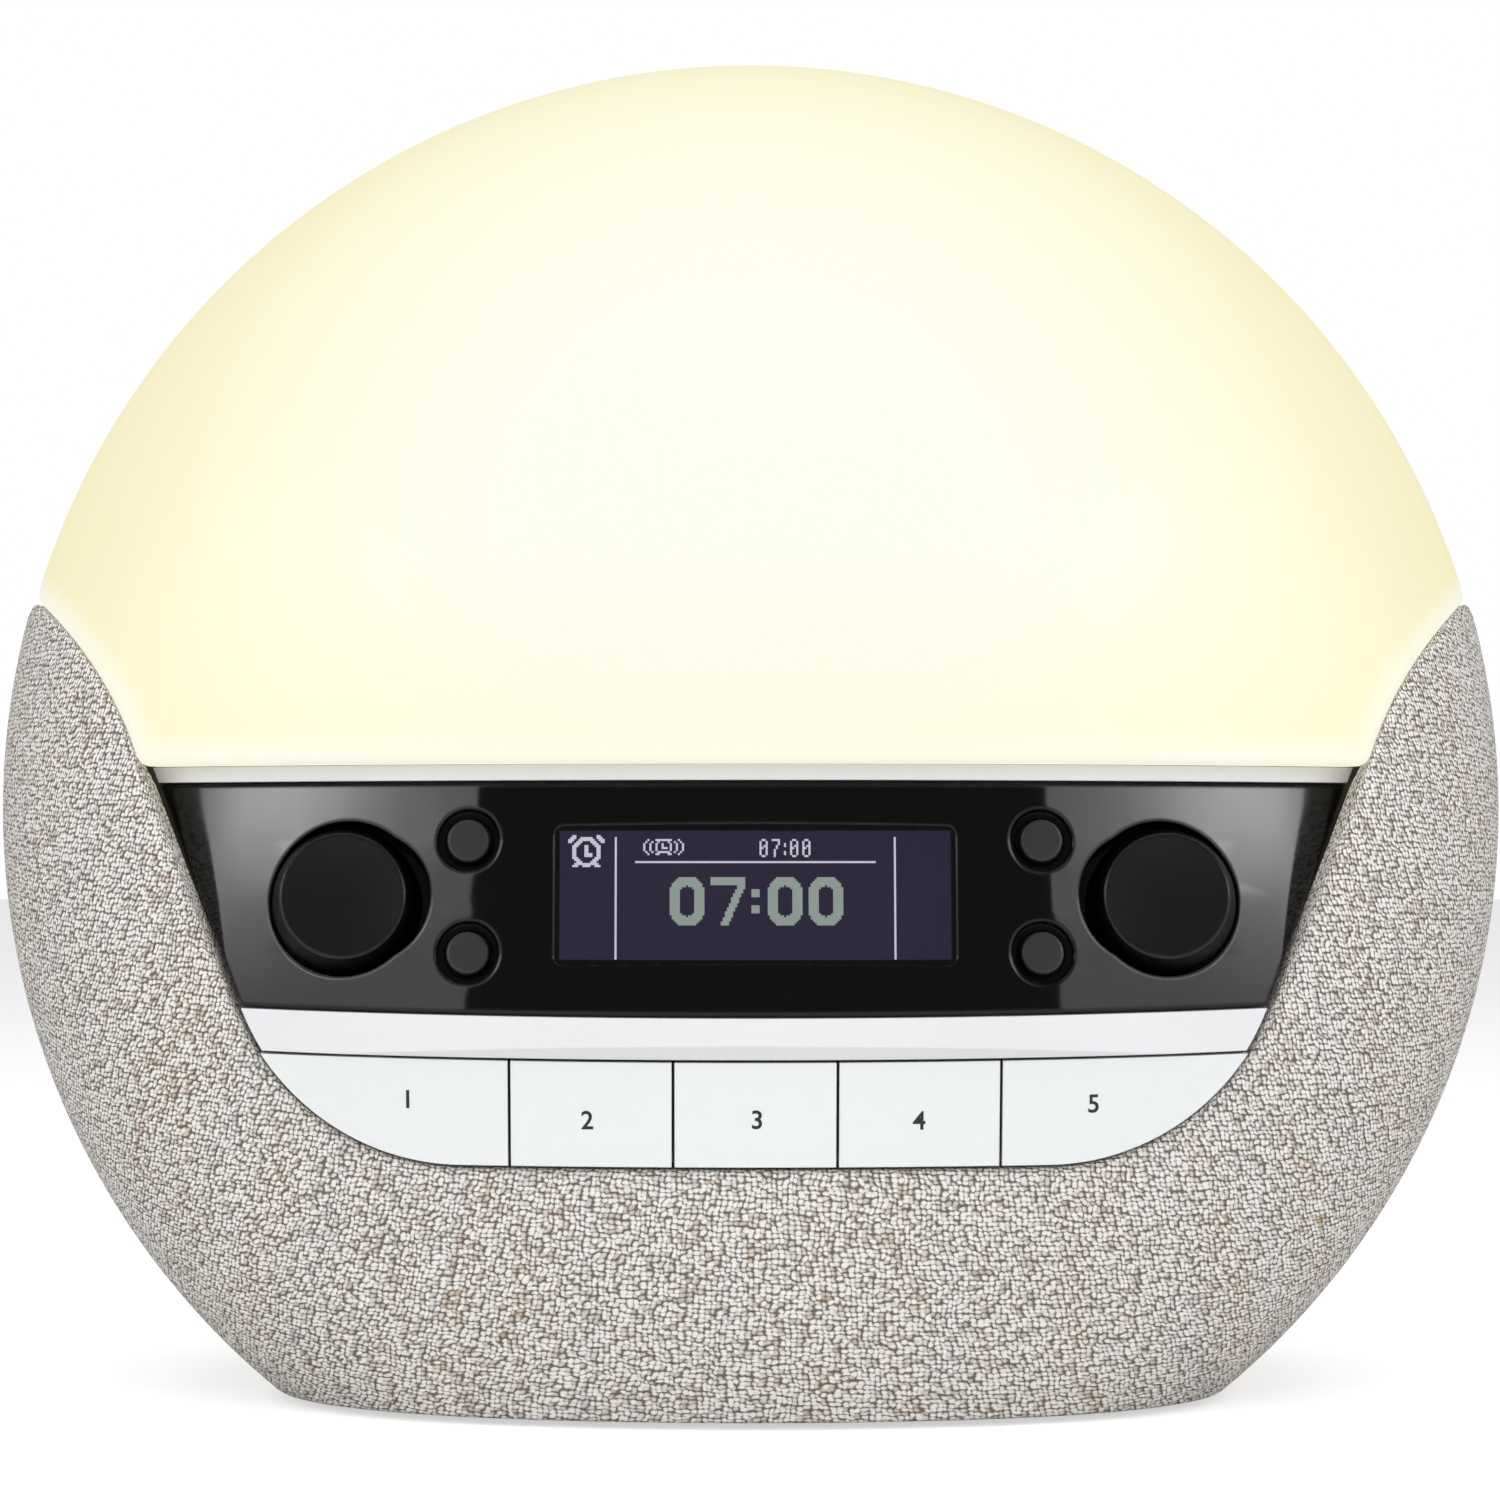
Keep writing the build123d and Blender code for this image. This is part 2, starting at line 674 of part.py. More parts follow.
for side_name, side in sides.items():
    for row, rise in rows.items():
        mouth = control_plane(side * button_x, rise)
        section = section_of(mouth)
        stem_end = -(depth_to_board(mouth) - switch_drop)
        flange_top = -(button_floor + moving_gap)
        with BuildPart() as button:
            with BuildSketch(section):
                with BuildLine():
                    side_line = Polyline(
                        (0, stem_end), (stem_radius, stem_end), (stem_radius, flange_top - flange_height),
                        (flange_radius, flange_top - flange_height), (flange_radius, flange_top),
                        (button_radius, flange_top), (button_radius, -cap_round))
                    cap = RadiusArc(side_line @ 1, (button_radius - cap_round, 0), -cap_round)
                    Polyline(cap @ 1, (0, 0), (0, stem_end))
                make_face()
            revolve(axis=Axis(mouth.origin, mouth.z_dir))
        save(button.part, f"button_{row}_{side_name}")

# ------------------------------------------------------------- control board
module_clear = window_width / 2
module_depth = panel_wall + module_clear**2 / (2 * fascia_plan_radius) + moving_gap
module_back = control_plane(0, window_rise, module_depth + module_thickness)
board_rise = depth_to_board(module_back)
board_margin = 2.0
board_width = 2 * (knob_x + board_margin) + encoder_width
board_height = 25.0
standoff_radius = 1.8

with BuildPart() as control_board:
    with BuildSketch(board_plane()):
        RectangleRounded(board_width, board_height, board_corner)
    extrude(amount=-board_thickness)
save(control_board.part, "control_board")

with BuildPart() as button_switches:
    for side in sides.values():
        for rise in button_rises:
            mouth = control_plane(side * button_x, rise)
            base = control_plane(side * button_x, rise, depth_to_board(mouth))
            with BuildSketch(base):
                Rectangle(switch_size, switch_size)
            extrude(amount=switch_height)
            with BuildSketch(base.offset(switch_height)):
                Circle(plunger_radius)
            extrude(amount=plunger_height)
save(button_switches.part, "button_switches")

with BuildPart() as display_module:
    with BuildSketch(module_back):
        RectangleRounded(module_width, module_height, module_corner)
    extrude(amount=module_thickness)
    chamfer(display_module.faces().sort_by(Axis.Y)[0].edges(), module_edge)
save(display_module.part, "display_module")

with BuildPart() as display_standoffs:
    with BuildSketch(module_back):
        with GridLocations(module_width - 2 * standoff_inset, module_height - 2 * standoff_inset, 2, 2):
            RegularPolygon(standoff_radius, 6)
    extrude(amount=-board_rise)
save(display_standoffs.part, "display_standoffs")

# --------------------------------------------------------------------- keys
key_slope = (key_face_bottom - key_face_top) / (key_top - opening_floor)
key_ends = (key_top + spare, opening_floor - spare)
key_line = [(key_face_top + (key_top - z) * key_slope, z) for z in key_ends]
key_outline = key_line + [(y + key_wall, z) for y, z in reversed(key_line)]
stem_tip = key_board_front - switch_height - plunger_height - moving_gap - key_travel
key_count = len(key_stem_x)

with BuildPart() as key_band:
    add(fascia_piece(key_outline, key_opening, key_plan_radius))
    split(bisect_by=tilted_seam(key_top), keep=Keep.BOTTOM)

for number, stem_x in enumerate(key_stem_x, start=1):
    left_edge = (number - 1 - key_count / 2) * key_pitch + key_gap / 2
    right_edge = left_edge + key_pitch - key_gap
    if number == 1:
        left_edge -= far
    if number == key_count:
        right_edge += far
    with BuildPart() as preset_key:
        add(key_band.part)
        with BuildSketch(Plane.XZ):
            with Locations(((left_edge + right_edge) / 2, key_top)):
                Rectangle(right_edge - left_edge, far)
        extrude(amount=far, mode=Mode.INTERSECT)
        with BuildSketch(Plane.XZ.offset(-stem_tip)):
            with Locations((stem_x, key_stem_height_z)):
                Rectangle(key_stem_width, key_stem_height)
        extrude(until=Until.NEXT, target=preset_key.part)
    save(preset_key.part, f"preset_key_{number}")

with BuildPart() as key_board:
    with BuildSketch(Plane.XZ.offset(-key_board_front)):
        with Locations((0, (key_board_bottom + key_board_top) / 2)):
            RectangleRounded(key_board_length, key_board_top - key_board_bottom, board_corner)
    extrude(amount=-board_thickness)
save(key_board.part, "key_board")

with BuildPart() as key_switches:
    for x in key_stem_x:
        with BuildSketch(Plane.XZ.offset(-key_board_front)):
            with Locations((x, key_stem_height_z)):
                Rectangle(switch_size, switch_size)
        extrude(amount=switch_height)
        with BuildSketch(Plane.XZ.offset(switch_height - key_board_front)):
            with Locations((x, key_stem_height_z)):
                Circle(plunger_radius)
        extrude(amount=plunger_height)
save(key_switches.part, "key_switches")

# ------------------------------------------------------------------ chassis
lug_radius = 4.5
lug_ring = body_radius - 7.0
lug_angles = (-17.0, -44.0, -136.0, -163.0)
lug_length = 9.0
lug_bore = 8.0
rear_rows = {56.0: body_radius - 50.5, 136.0: body_radius - 46.5}
rear_posts = [(side * x, height) for height, x in rear_rows.items() for side in (-1, 1)]
rear_meeting = half_depth - 35.0
rear_thread = 12.0
tunnel_radius = screw_head_radius + screw_clearance + 0.2
tunnel_wall = 1.3
lamp_low = 99.0
lamp_window_width = 84.0
lamp_window_low = 108.0
lamp_window_height = 36.0
lower_window_width = 74.0
lower_window_height = 26.0
lower_window_middle = 72.0
window_round = 5.0
lug_spots = [
    (lug_ring * cos(radians(angle)), centre_height + lug_ring * sin(radians(angle))) for angle in lug_angles]
stud_x = main_board_width / 2 - stud_inset
board_stud_spots = [
    (x, z) for x in (-stud_x, stud_x) for z in (main_board_low + stud_inset, main_board_high - stud_inset)]
stud_radius = 3.0
stud_length = 6.0
screw_grip = 5.0
screw_spare = 1.0            # empty end of the hole past a screw's tip

with BuildPart() as chassis:
    add(rounded_body(shell_inset + chassis_gap))
    slab = [(-far, chassis_front, base_top + chassis_foot_gap), (far, chassis_back, far * 2)]
    add(box_between(*slab), mode=Mode.INTERSECT)
    with BuildSketch(Plane.XZ.offset(-chassis_back)):
        with Locations((0, lamp_window_low + lamp_window_height / 2)):
            RectangleRounded(lamp_window_width, lamp_window_height, window_round)
        with Locations((0, lower_window_middle)):
            RectangleRounded(lower_window_width, lower_window_height, window_round)
    extrude(amount=chassis_wall, mode=Mode.SUBTRACT)
    for x, height in post_spots:
        add(bar(x, height, post_radius, post_meeting, chassis_front))
    for x, height in rear_posts:
        add(bar(x, height, post_radius, chassis_back, rear_meeting))
    for x, height in board_stud_spots:
        add(bar(x, height, stud_radius, chassis_back, chassis_back + stud_length))
    for x, height in post_spots:
        add(bar(x, height, screw_radius + screw_clearance, post_meeting, chassis_front), mode=Mode.SUBTRACT)
        add(bar(x, height, screw_head_radius + screw_clearance, post_meeting + screw_grip, chassis_back),
            mode=Mode.SUBTRACT)
    for x, height in rear_posts:
        add(bar(x, height, screw_radius, rear_meeting - rear_thread, rear_meeting), mode=Mode.SUBTRACT)
    for x, height in board_stud_spots:
        add(bar(x, height, screw_radius, chassis_back, chassis_back + stud_length), mode=Mode.SUBTRACT)
    for x, height in lug_spots:
        add(bar(x, height, screw_radius + screw_clearance, chassis_front, chassis_back), mode=Mode.SUBTRACT)
save(chassis.part, "chassis")


cross_length = 2.6
cross_width = 0.7
cross_depth = 0.9
head_edge = 0.5


def screw(x, height, head_front, length):
    """Pan-head screw along Y: head towards the back, shank to the front."""
    with BuildPart(mode=Mode.PRIVATE) as fastener:
        add(bar(x, height, screw_head_radius, head_front, head_front + screw_head_height))
        chamfer(fastener.faces().sort_by(Axis.Y)[-1].edges(), head_edge)
        add(bar(x, height, screw_radius, head_front - length, head_front))
        with BuildSketch(Plane.XZ.offset(-head_front - screw_head_height)):
            with Locations((x, height)):
                Rectangle(cross_length, cross_width)
                Rectangle(cross_width, cross_length)
        extrude(amount=cross_depth, mode=Mode.SUBTRACT)
    return fastener.part


with BuildPart() as chassis_screws:
    for x, height in post_spots:
        add(screw(x, height, post_meeting + screw_grip, screw_grip + post_thread - 3 * screw_spare))
    for x, height in lug_spots:
        add(screw(x, height, chassis_back, chassis_wall + lug_bore - screw_spare))
save(chassis_screws.part, "chassis_screws")

# ---------------------------------------------- cradle shell, with its bosses
base_boss_x = body_radius - 62.5
base_boss_y = chassis_back + 11.0
base_boss_radius = 4.0
base_boss_height = 9.0
rib_wall = 2.0
grille_hole = 1.3
grille_pitch = 4.2
grille_count = 5

with BuildPart() as shell_fittings:
    for side in sides.values():
        duct_outer = speaker_radius + duct_gap + duct_wall
        duct_inner = speaker_radius - duct_wall
        add(bar(side * speaker_x, speaker_height, duct_outer, -far, speaker_face))
        add(bar(side * speaker_x, speaker_height, duct_inner, -far, speaker_face), mode=Mode.SUBTRACT)
    for x, height in lug_spots:
        add(bar(x, height, lug_radius, chassis_front - lug_length, chassis_front))
        add(bar(x, height, screw_radius, chassis_front - lug_bore, chassis_front), mode=Mode.SUBTRACT)
    with BuildSketch(Plane.XY.offset(base_top)):
        for side in sides.values():
            with Locations((side * base_boss_x, base_boss_y)):
                Circle(base_boss_radius)
            with Locations((side * (base_boss_x + far / 4), base_boss_y)):
                Rectangle(far / 2, rib_wall)
    extrude(amount=base_boss_height)
    with BuildSketch(Plane.XY.offset(base_top)):
        with Locations((base_boss_x, base_boss_y), (-base_boss_x, base_boss_y)):
            Circle(screw_radius)
    extrude(amount=base_boss_height - screw_spare, mode=Mode.SUBTRACT)
    add(rounded_body(fabric_thickness + shell_wall / 2), mode=Mode.INTERSECT)
    add(prism(shell_opening, -far, far), mode=Mode.SUBTRACT)

with BuildPart() as cradle_shell:
    add(bare_shell)
    add(shell_fittings.part)
    for side in sides.values():
        with BuildSketch(Plane.XZ.offset(-speaker_face)):
            with Locations((side * speaker_x, speaker_height)):
                with GridLocations(grille_pitch, grille_pitch, grille_count, grille_count):
                    Circle(grille_hole)
        extrude(amount=half_depth, mode=Mode.SUBTRACT)
save(cradle_shell.part, "cradle_shell")

# ----------------------------------------------------------------- speakers
basket_depth = 13.0
magnet_radius = 9.0
magnet_depth = 6.0
magnet_edge = 0.6
flange_wall = 1.6
flange_width = 2.2
basket_wall = 1.2
cone_wall = 0.6
cone_depth = 7.0
cap_rise = 1.6               # dust cap's middle in front of its edge
bead_width = 2.4
bead_wall = 0.6
bead_drop = 0.4
voice_radius = 5.0
for name, side in sides.items():
    at = Plane((side * speaker_x, speaker_face, speaker_height), x_dir=(1, 0, 0), z_dir=(0, -1, 0))
    section = section_of(at)
    turn = Axis(at.origin, at.z_dir)
    roll = speaker_radius - flange_width
    bead_end = roll - bead_width
    cap_top = cap_rise - cone_depth
    with BuildPart() as speaker_frame:
        with BuildSketch(section):
            with BuildLine():
                Polyline(
                    (speaker_radius, 0), (speaker_radius, -flange_wall), (roll + bead_wall / 2, -flange_wall),
                    (magnet_radius, -basket_depth), (voice_radius, -basket_depth),
                    (voice_radius, basket_wall - basket_depth),
                    (magnet_radius - basket_wall / 2, basket_wall - basket_depth),
                    (roll, -flange_wall), (roll, 0), close=True)
            make_face()
        revolve(axis=turn)
    save(speaker_frame.part, f"{name}_speaker_frame")
    with BuildPart() as speaker_cone:
        with BuildSketch(section):
            with BuildLine():
                edge_line = Line((roll, -bead_drop - bead_wall), (roll, -bead_drop))
                bead = ThreePointArc(edge_line @ 1, (roll - bead_width / 2, 0), (bead_end, -bead_wall))
                Polyline(
                    bead @ 1, (voice_radius, -cone_depth), (0, cap_top), (0, cap_top - cone_wall),
                    (voice_radius, -cone_depth - cone_wall), (bead_end, -2 * bead_wall), edge_line @ 0)
            make_face()
        revolve(axis=turn)
    save(speaker_cone.part, f"{name}_speaker_cone")
    with BuildPart() as speaker_magnet:
        with BuildSketch(at.offset(-basket_depth)):
            Circle(magnet_radius)
        extrude(amount=-magnet_depth)
        chamfer(speaker_magnet.faces().sort_by(Axis.Y)[-1].edges(), magnet_edge)
    save(speaker_magnet.part, f"{name}_speaker_magnet")

# --------------------------------------------------------------------- lamp
sink_wall = 2.0
sink_margin = 5.0
fin_count = 10
fin_wall = 1.2
fin_depth = 20.0
led_board_radius = body_radius - 40.5
led_rings = {22.0: 5, 36.0: 8, 50.0: 11}
led_start_angle = 14
led_angle_range = 152
led_rise = 6.0               # centre of the rings above the tray's floor
led_size = 3.5
led_board_gap = 0.5
sink_edge = 5.0              # outermost fins to the plate's end
fin_edge = 3.0
led_height = 1.2
tray_wall = 1.4
tray_back_radius = body_radius - 32.5
tray_front_radius = body_radius - 17.5
tray_corner_radius = 8.0
tray_overrun = 0.1           # how far the hollow of the tray runs past both ends
tray_depth = 26.0
lamp_middle = lamp_window_low + lamp_window_height / 2


def lamp_outline(depth, radius, low, spread=0.0):
    """D-shaped outline of the lamp at a depth: a circle cut off flat at the bottom."""
    with BuildSketch(Plane.XZ.offset(-depth), mode=Mode.PRIVATE) as face:
        with Locations((0, centre_height)):
            Circle(radius - spread)
        with Locations((0, low + spread)):
            Rectangle(far, far, align=(Align.CENTER, Align.MIN), mode=Mode.INTERSECT)
        fillet(face.vertices(), tray_corner_radius - spread)
    return face.sketch


sink_back = chassis_front
sink_front = sink_back - sink_wall
led_front = sink_front - board_thickness
with BuildPart() as heat_sink:
    with BuildSketch(Plane.XZ.offset(-sink_back)):
        with Locations((0, lamp_middle)):
            sink_size = (lamp_window_width + 2 * sink_margin, lamp_window_height + 2 * sink_margin)
            RectangleRounded(*sink_size, window_round)
    extrude(amount=sink_wall)
    with BuildSketch(Plane.XZ.offset(-sink_back)):
        with Locations((0, lamp_middle)):
            with GridLocations((lamp_window_width - 2 * sink_edge) / (fin_count - 1), 0, fin_count, 1):
                Rectangle(fin_wall, lamp_window_height - 2 * fin_edge)
    extrude(amount=-fin_depth)
save(heat_sink.part, "heat_sink")

with BuildPart() as led_board:
    board_low = lamp_low + tray_wall + led_board_gap
    extrude(lamp_outline(sink_front, led_board_radius, board_low), amount=board_thickness)
save(led_board.part, "led_board")

with BuildPart() as leds:
    with BuildSketch(Plane.XZ.offset(-led_front)):
        with Locations((0, lamp_low + led_rise)):
            for ring, count in led_rings.items():
                with PolarLocations(ring, count, led_start_angle, led_angle_range, False, endpoint=True):
                    Rectangle(led_size, led_size)
    extrude(amount=led_height)
save(leds.part, "leds")


def tray_section(reach, spread=0.0):
    """Section of the light tray, from 0 at its back to 1 at its front edge."""
    radius = tray_back_radius + (tray_front_radius - tray_back_radius) * reach
    return lamp_outline(chassis_front - tray_depth * reach, radius, lamp_low, spread).face()


with BuildPart() as light_tray:
    loft([tray_section(0), tray_section(1)], ruled=True)
    inner_ends = [tray_section(reach, tray_wall) for reach in (-tray_overrun, 1 + tray_overrun)]
    loft(inner_ends, ruled=True, mode=Mode.SUBTRACT)
save(light_tray.part, "light_tray")

# ------------------------------------------------------- main board and parts
main_front = chassis_back + stud_length
main_back = main_front + board_thickness
board_end = main_board_width / 2
chip_spots = [(-12.0, 36.0, 12.0), (12.0, 28.0, 9.0), (0.0, 48.0, 6.0)]
chip_flatness = 7            # width over thickness
capacitor_spots = [(board_end - 20.0, 42.0), (board_end - 20.0, 26.0), (board_end - 9.0, 34.0)]
capacitor_radius = 4.0
capacitor_height = 9.0
cell_spot = (18.0 - board_end, 34.0)
cell_radius = 10.0
cell_height = 3.2
cell_floor = 1.0
cell_wall = 1.0
cell_edge = 0.3

with BuildPart() as main_board:
    with BuildSketch(Plane.XZ.offset(-main_front)):
        with Locations((0, (main_board_low + main_board_high) / 2)):
            RectangleRounded(main_board_width, main_board_high - main_board_low, board_corner)
        with Locations(*board_stud_spots):
            Circle(screw_radius + screw_clearance, mode=Mode.SUBTRACT)
    extrude(amount=-board_thickness)
save(main_board.part, "main_board")

with BuildPart() as board_screws:
    for x, height in board_stud_spots:
        add(screw(x, height, main_back, board_thickness + stud_length - screw_spare))
save(board_screws.part, "board_screws")

with BuildPart() as board_chips:
    for x, height, size in chip_spots:
        with BuildSketch(Plane.XZ.offset(-main_back)):
            with Locations((x, height)):
                Rectangle(size, size)
        extrude(amount=-size / chip_flatness)
save(board_chips.part, "board_chips")

with BuildPart() as board_capacitors:
    with BuildSketch(Plane.XZ.offset(-main_back)):
        with Locations(*capacitor_spots):
            Circle(capacitor_radius)
    extrude(amount=-capacitor_height)
save(board_capacitors.part, "board_capacitors")

with BuildPart() as coin_cell_holder:
    add(bar(*cell_spot, cell_radius + cell_wall, main_back, main_back + cell_floor + cell_height / 2))
    add(bar(*cell_spot, cell_radius, main_back + cell_floor, main_back + cell_height), mode=Mode.SUBTRACT)
save(coin_cell_holder.part, "coin_cell_holder")

with BuildPart() as coin_cell:
    add(bar(*cell_spot, cell_radius, main_back + cell_floor, main_back + cell_floor + cell_height))
    chamfer(coin_cell.faces().sort_by(Axis.Y)[-1].edges(), cell_edge)
save(coin_cell.part, "coin_cell")

# ------------------------------------------------------------- rear housing
socket_height = 52.0
bay_width = 66.0
bay_height = 15.0
bay_corner = 3.0
bay_wall = 1.8
bay_floor = half_depth - 16.0
plate_wall = 2.0
plate_lip = 2.0
socket_length = 11.0
socket_board_height = 17.0
vent_count = 11
vent_pitch = 7.0
vent_width = 2.6
vent_length = 22.0
vent_height = 150.0
tunnel_floor = 2.5


def bay_face(depth, spread):
    """Outline of the socket bay at a depth."""
    with BuildSketch(Plane.XZ.offset(-depth), mode=Mode.PRIVATE) as face:
        with Locations((0, socket_height)):
            RectangleRounded(bay_width + 2 * spread, bay_height + 2 * spread, bay_corner)
    return face.sketch


with BuildPart() as housing_fittings:
    for x, height in rear_posts:
        add(bar(x, height, tunnel_radius + tunnel_wall, rear_meeting, far))
    extrude(bay_face(bay_floor, bay_wall), amount=-far)
    for side in sides.values():
        add(bar(side * (bay_width / 2 + plate_lip + stud_radius), socket_height, stud_radius,
                bay_floor - plate_wall - socket_length, far))
    add(rounded_body(dome_step + housing_wall / 2), mode=Mode.INTERSECT)

with BuildPart() as rear_housing:
    add(rounded_body(dome_step))
    add(rounded_body(housing_inset), mode=Mode.SUBTRACT)
    add(prism(housing_opening, -far, far), mode=Mode.INTERSECT)
    split(bisect_by=Plane.XZ.offset(-seam_depth - seam_gap), keep=Keep.BOTTOM)
    add(housing_fittings.part)
    for x, height in rear_posts:
        add(bar(x, height, screw_radius + screw_clearance, rear_meeting, far), mode=Mode.SUBTRACT)
        add(bar(x, height, tunnel_radius, rear_meeting + tunnel_floor, far), mode=Mode.SUBTRACT)
    extrude(bay_face(bay_floor, 0), amount=-far, mode=Mode.SUBTRACT)
    with BuildSketch(Plane.XZ):
        with Locations((0, vent_height)):
            with GridLocations(vent_pitch, 0, vent_count, 1):
                SlotOverall(vent_length, vent_width, rotation=90)
    extrude(amount=-far, mode=Mode.SUBTRACT)
save(rear_housing.part, "rear_housing")

with BuildPart() as rear_screws:
    for x, height in rear_posts:
        add(screw(x, height, rear_meeting + tunnel_floor, tunnel_floor + rear_thread - 3 * screw_spare))
save(rear_screws.part, "rear_screws")

# -------------------------------------------------------------- the sockets
dc_x = -20.0
dc_body = 10.0
dc_nose = 4.4
dc_bore = 2.8
dc_pin = 1.05
dc_bore_depth = 9.5
usb_x = 0.0
usb_width = 14.4
usb_body_height = 7.2
usb_slot_width = 12.5
usb_slot_height = 5.1
usb_tongue = 1.8
tongue_side_gap = 0.7
tongue_setback = 1.0
aux_x = 20.0
aux_body = 8.0
aux_nose = 3.4
aux_bore = 1.8
nose_gap = 0.15
plate_front = bay_floor - plate_wall
socket_back = plate_front - socket_length

with BuildPart() as socket_plate:
    extrude(bay_face(plate_front, bay_wall), amount=-plate_wall)
    add(bar(dc_x, socket_height, dc_nose + nose_gap, plate_front, bay_floor), mode=Mode.SUBTRACT)
    add(bar(aux_x, socket_height, aux_nose + nose_gap, plate_front, bay_floor), mode=Mode.SUBTRACT)
    with BuildSketch(Plane.XZ.offset(-plate_front)):
        with Locations((usb_x, socket_height)):
            Rectangle(usb_width + 2 * nose_gap, usb_body_height + 2 * nose_gap)
    extrude(amount=-plate_wall, mode=Mode.SUBTRACT)
save(socket_plate.part, "socket_plate")

with BuildPart() as dc_inlet:
    with BuildSketch(Plane.XZ.offset(-socket_back)):
        with Locations((dc_x, socket_height)):
            Rectangle(dc_body, dc_body)
    extrude(amount=-socket_length)
    add(bar(dc_x, socket_height, dc_nose, plate_front, bay_floor))
    add(bar(dc_x, socket_height, dc_bore, bay_floor - dc_bore_depth, bay_floor), mode=Mode.SUBTRACT)
    add(bar(dc_x, socket_height, dc_pin, bay_floor - dc_bore_depth, bay_floor - tongue_setback))
save(dc_inlet.part, "dc_inlet")

with BuildPart() as usb_socket:
    with BuildSketch(Plane.XZ.offset(-socket_back)):
        with Locations((usb_x, socket_height)):
            Rectangle(usb_width, usb_body_height)
    extrude(amount=socket_back - bay_floor)
    with BuildSketch(Plane.XZ.offset(-bay_floor)):
        with Locations((usb_x, socket_height)):
            Rectangle(usb_slot_width, usb_slot_height)
    extrude(amount=socket_length, mode=Mode.SUBTRACT)
    with BuildSketch(Plane.XZ.offset(-bay_floor + socket_length)):
        with Locations((usb_x, socket_height + usb_slot_height / 2 - usb_tongue)):
            Rectangle(usb_slot_width - 2 * tongue_side_gap, usb_tongue)
    extrude(amount=tongue_setback - socket_length)
save(usb_socket.part, "usb_socket")

with BuildPart() as aux_socket:
    with BuildSketch(Plane.XZ.offset(-socket_back)):
        with Locations((aux_x, socket_height)):
            Rectangle(aux_body, aux_body)
    extrude(amount=-socket_length)
    add(bar(aux_x, socket_height, aux_nose, plate_front, bay_floor))
    add(bar(aux_x, socket_height, aux_bore, socket_back, bay_floor), mode=Mode.SUBTRACT)
save(aux_socket.part, "aux_socket")

with BuildPart() as socket_board:
    with BuildSketch(Plane.XZ.offset(-socket_back)):
        with Locations((0, socket_height)):
            RectangleRounded(bay_width + 4 * plate_lip + 2 * stud_radius, socket_board_height, board_corner)
    extrude(amount=board_thickness)
save(socket_board.part, "socket_board")

# --------------------------------------------------------------- underside
base_screw_head = 1.1
base_screw_sink = 0.1        # screw heads below the base plate's face
base_screw_spots = [(-base_boss_x, base_boss_y), (base_boss_x, base_boss_y)]
foot_spots = [(x, y) for x in (-foot_x, foot_x) for y in (-foot_y, foot_y)]

with BuildPart() as base_plate:
    add(rounded_body(shell_inset + chassis_gap))
    add(box_between((-far, -far, shell_bottom), (far, far, base_top)), mode=Mode.INTERSECT)
    with BuildSketch(Plane.XY.offset(shell_bottom)):
        with Locations(*foot_spots):
            Circle(foot_radius + screw_clearance)
    extrude(amount=foot_recess, mode=Mode.SUBTRACT)
    with BuildSketch(Plane.XY.offset(shell_bottom)):
        with Locations(*base_screw_spots):
            Circle(screw_head_radius + screw_clearance)
    extrude(amount=base_screw_head + base_screw_sink, mode=Mode.SUBTRACT)
    with BuildSketch(Plane.XY.offset(shell_bottom)):
        with Locations(*base_screw_spots):
            Circle(screw_radius + screw_clearance)
    extrude(amount=base_wall, mode=Mode.SUBTRACT)
save(base_plate.part, "base_plate")

with BuildPart() as base_screws:
    with BuildSketch(Plane.XY.offset(shell_bottom + base_screw_sink)):
        with Locations(*base_screw_spots):
            Circle(screw_head_radius)
    extrude(amount=base_screw_head)
    with BuildSketch(Plane.XY.offset(shell_bottom + base_screw_sink)):
        with Locations(*base_screw_spots):
            Circle(screw_radius)
    extrude(amount=base_boss_height)
save(base_screws.part, "base_screws")

with BuildPart() as rubber_feet:
    with BuildSketch(Plane.XY):
        with Locations(*foot_spots):
            Circle(foot_radius)
    extrude(amount=shell_bottom + foot_recess)
    chamfer(rubber_feet.faces().group_by(Axis.Z)[0].edges(), foot_edge)
save(rubber_feet.part, "rubber_feet")
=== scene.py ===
from math import asin, atan2, ceil, cos, hypot, pi, radians, sin, sqrt, tan

import bpy
import numpy as np
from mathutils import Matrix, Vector
from mathutils.geometry import delaunay_2d_cdt


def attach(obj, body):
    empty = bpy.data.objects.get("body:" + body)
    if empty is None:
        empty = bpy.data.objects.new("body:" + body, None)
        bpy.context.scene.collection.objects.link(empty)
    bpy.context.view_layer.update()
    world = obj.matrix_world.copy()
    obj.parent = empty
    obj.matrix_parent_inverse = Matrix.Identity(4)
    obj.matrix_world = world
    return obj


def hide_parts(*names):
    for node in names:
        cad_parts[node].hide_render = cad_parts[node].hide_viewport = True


# Looks of a sunrise alarm clock.  Shapes are worked out in millimetres, in the
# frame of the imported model, and put into Blender in metres.

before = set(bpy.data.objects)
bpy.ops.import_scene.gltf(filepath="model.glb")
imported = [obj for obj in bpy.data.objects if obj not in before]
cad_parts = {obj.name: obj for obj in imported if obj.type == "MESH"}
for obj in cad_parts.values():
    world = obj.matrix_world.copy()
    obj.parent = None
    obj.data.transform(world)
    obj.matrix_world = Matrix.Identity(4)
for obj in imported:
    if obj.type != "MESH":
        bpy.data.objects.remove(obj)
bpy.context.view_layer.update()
MM = 0.001

# ---------------------------------------------------------------- dimensions
body_radius = 112.5
half_depth = 65.0
girdle_radius = 45.0
centre_height = 88.0
girdle_centre = body_radius - girdle_radius
nose_radius = (girdle_centre**2 + half_depth**2 - girdle_radius**2) / (2 * (half_depth - girdle_radius))

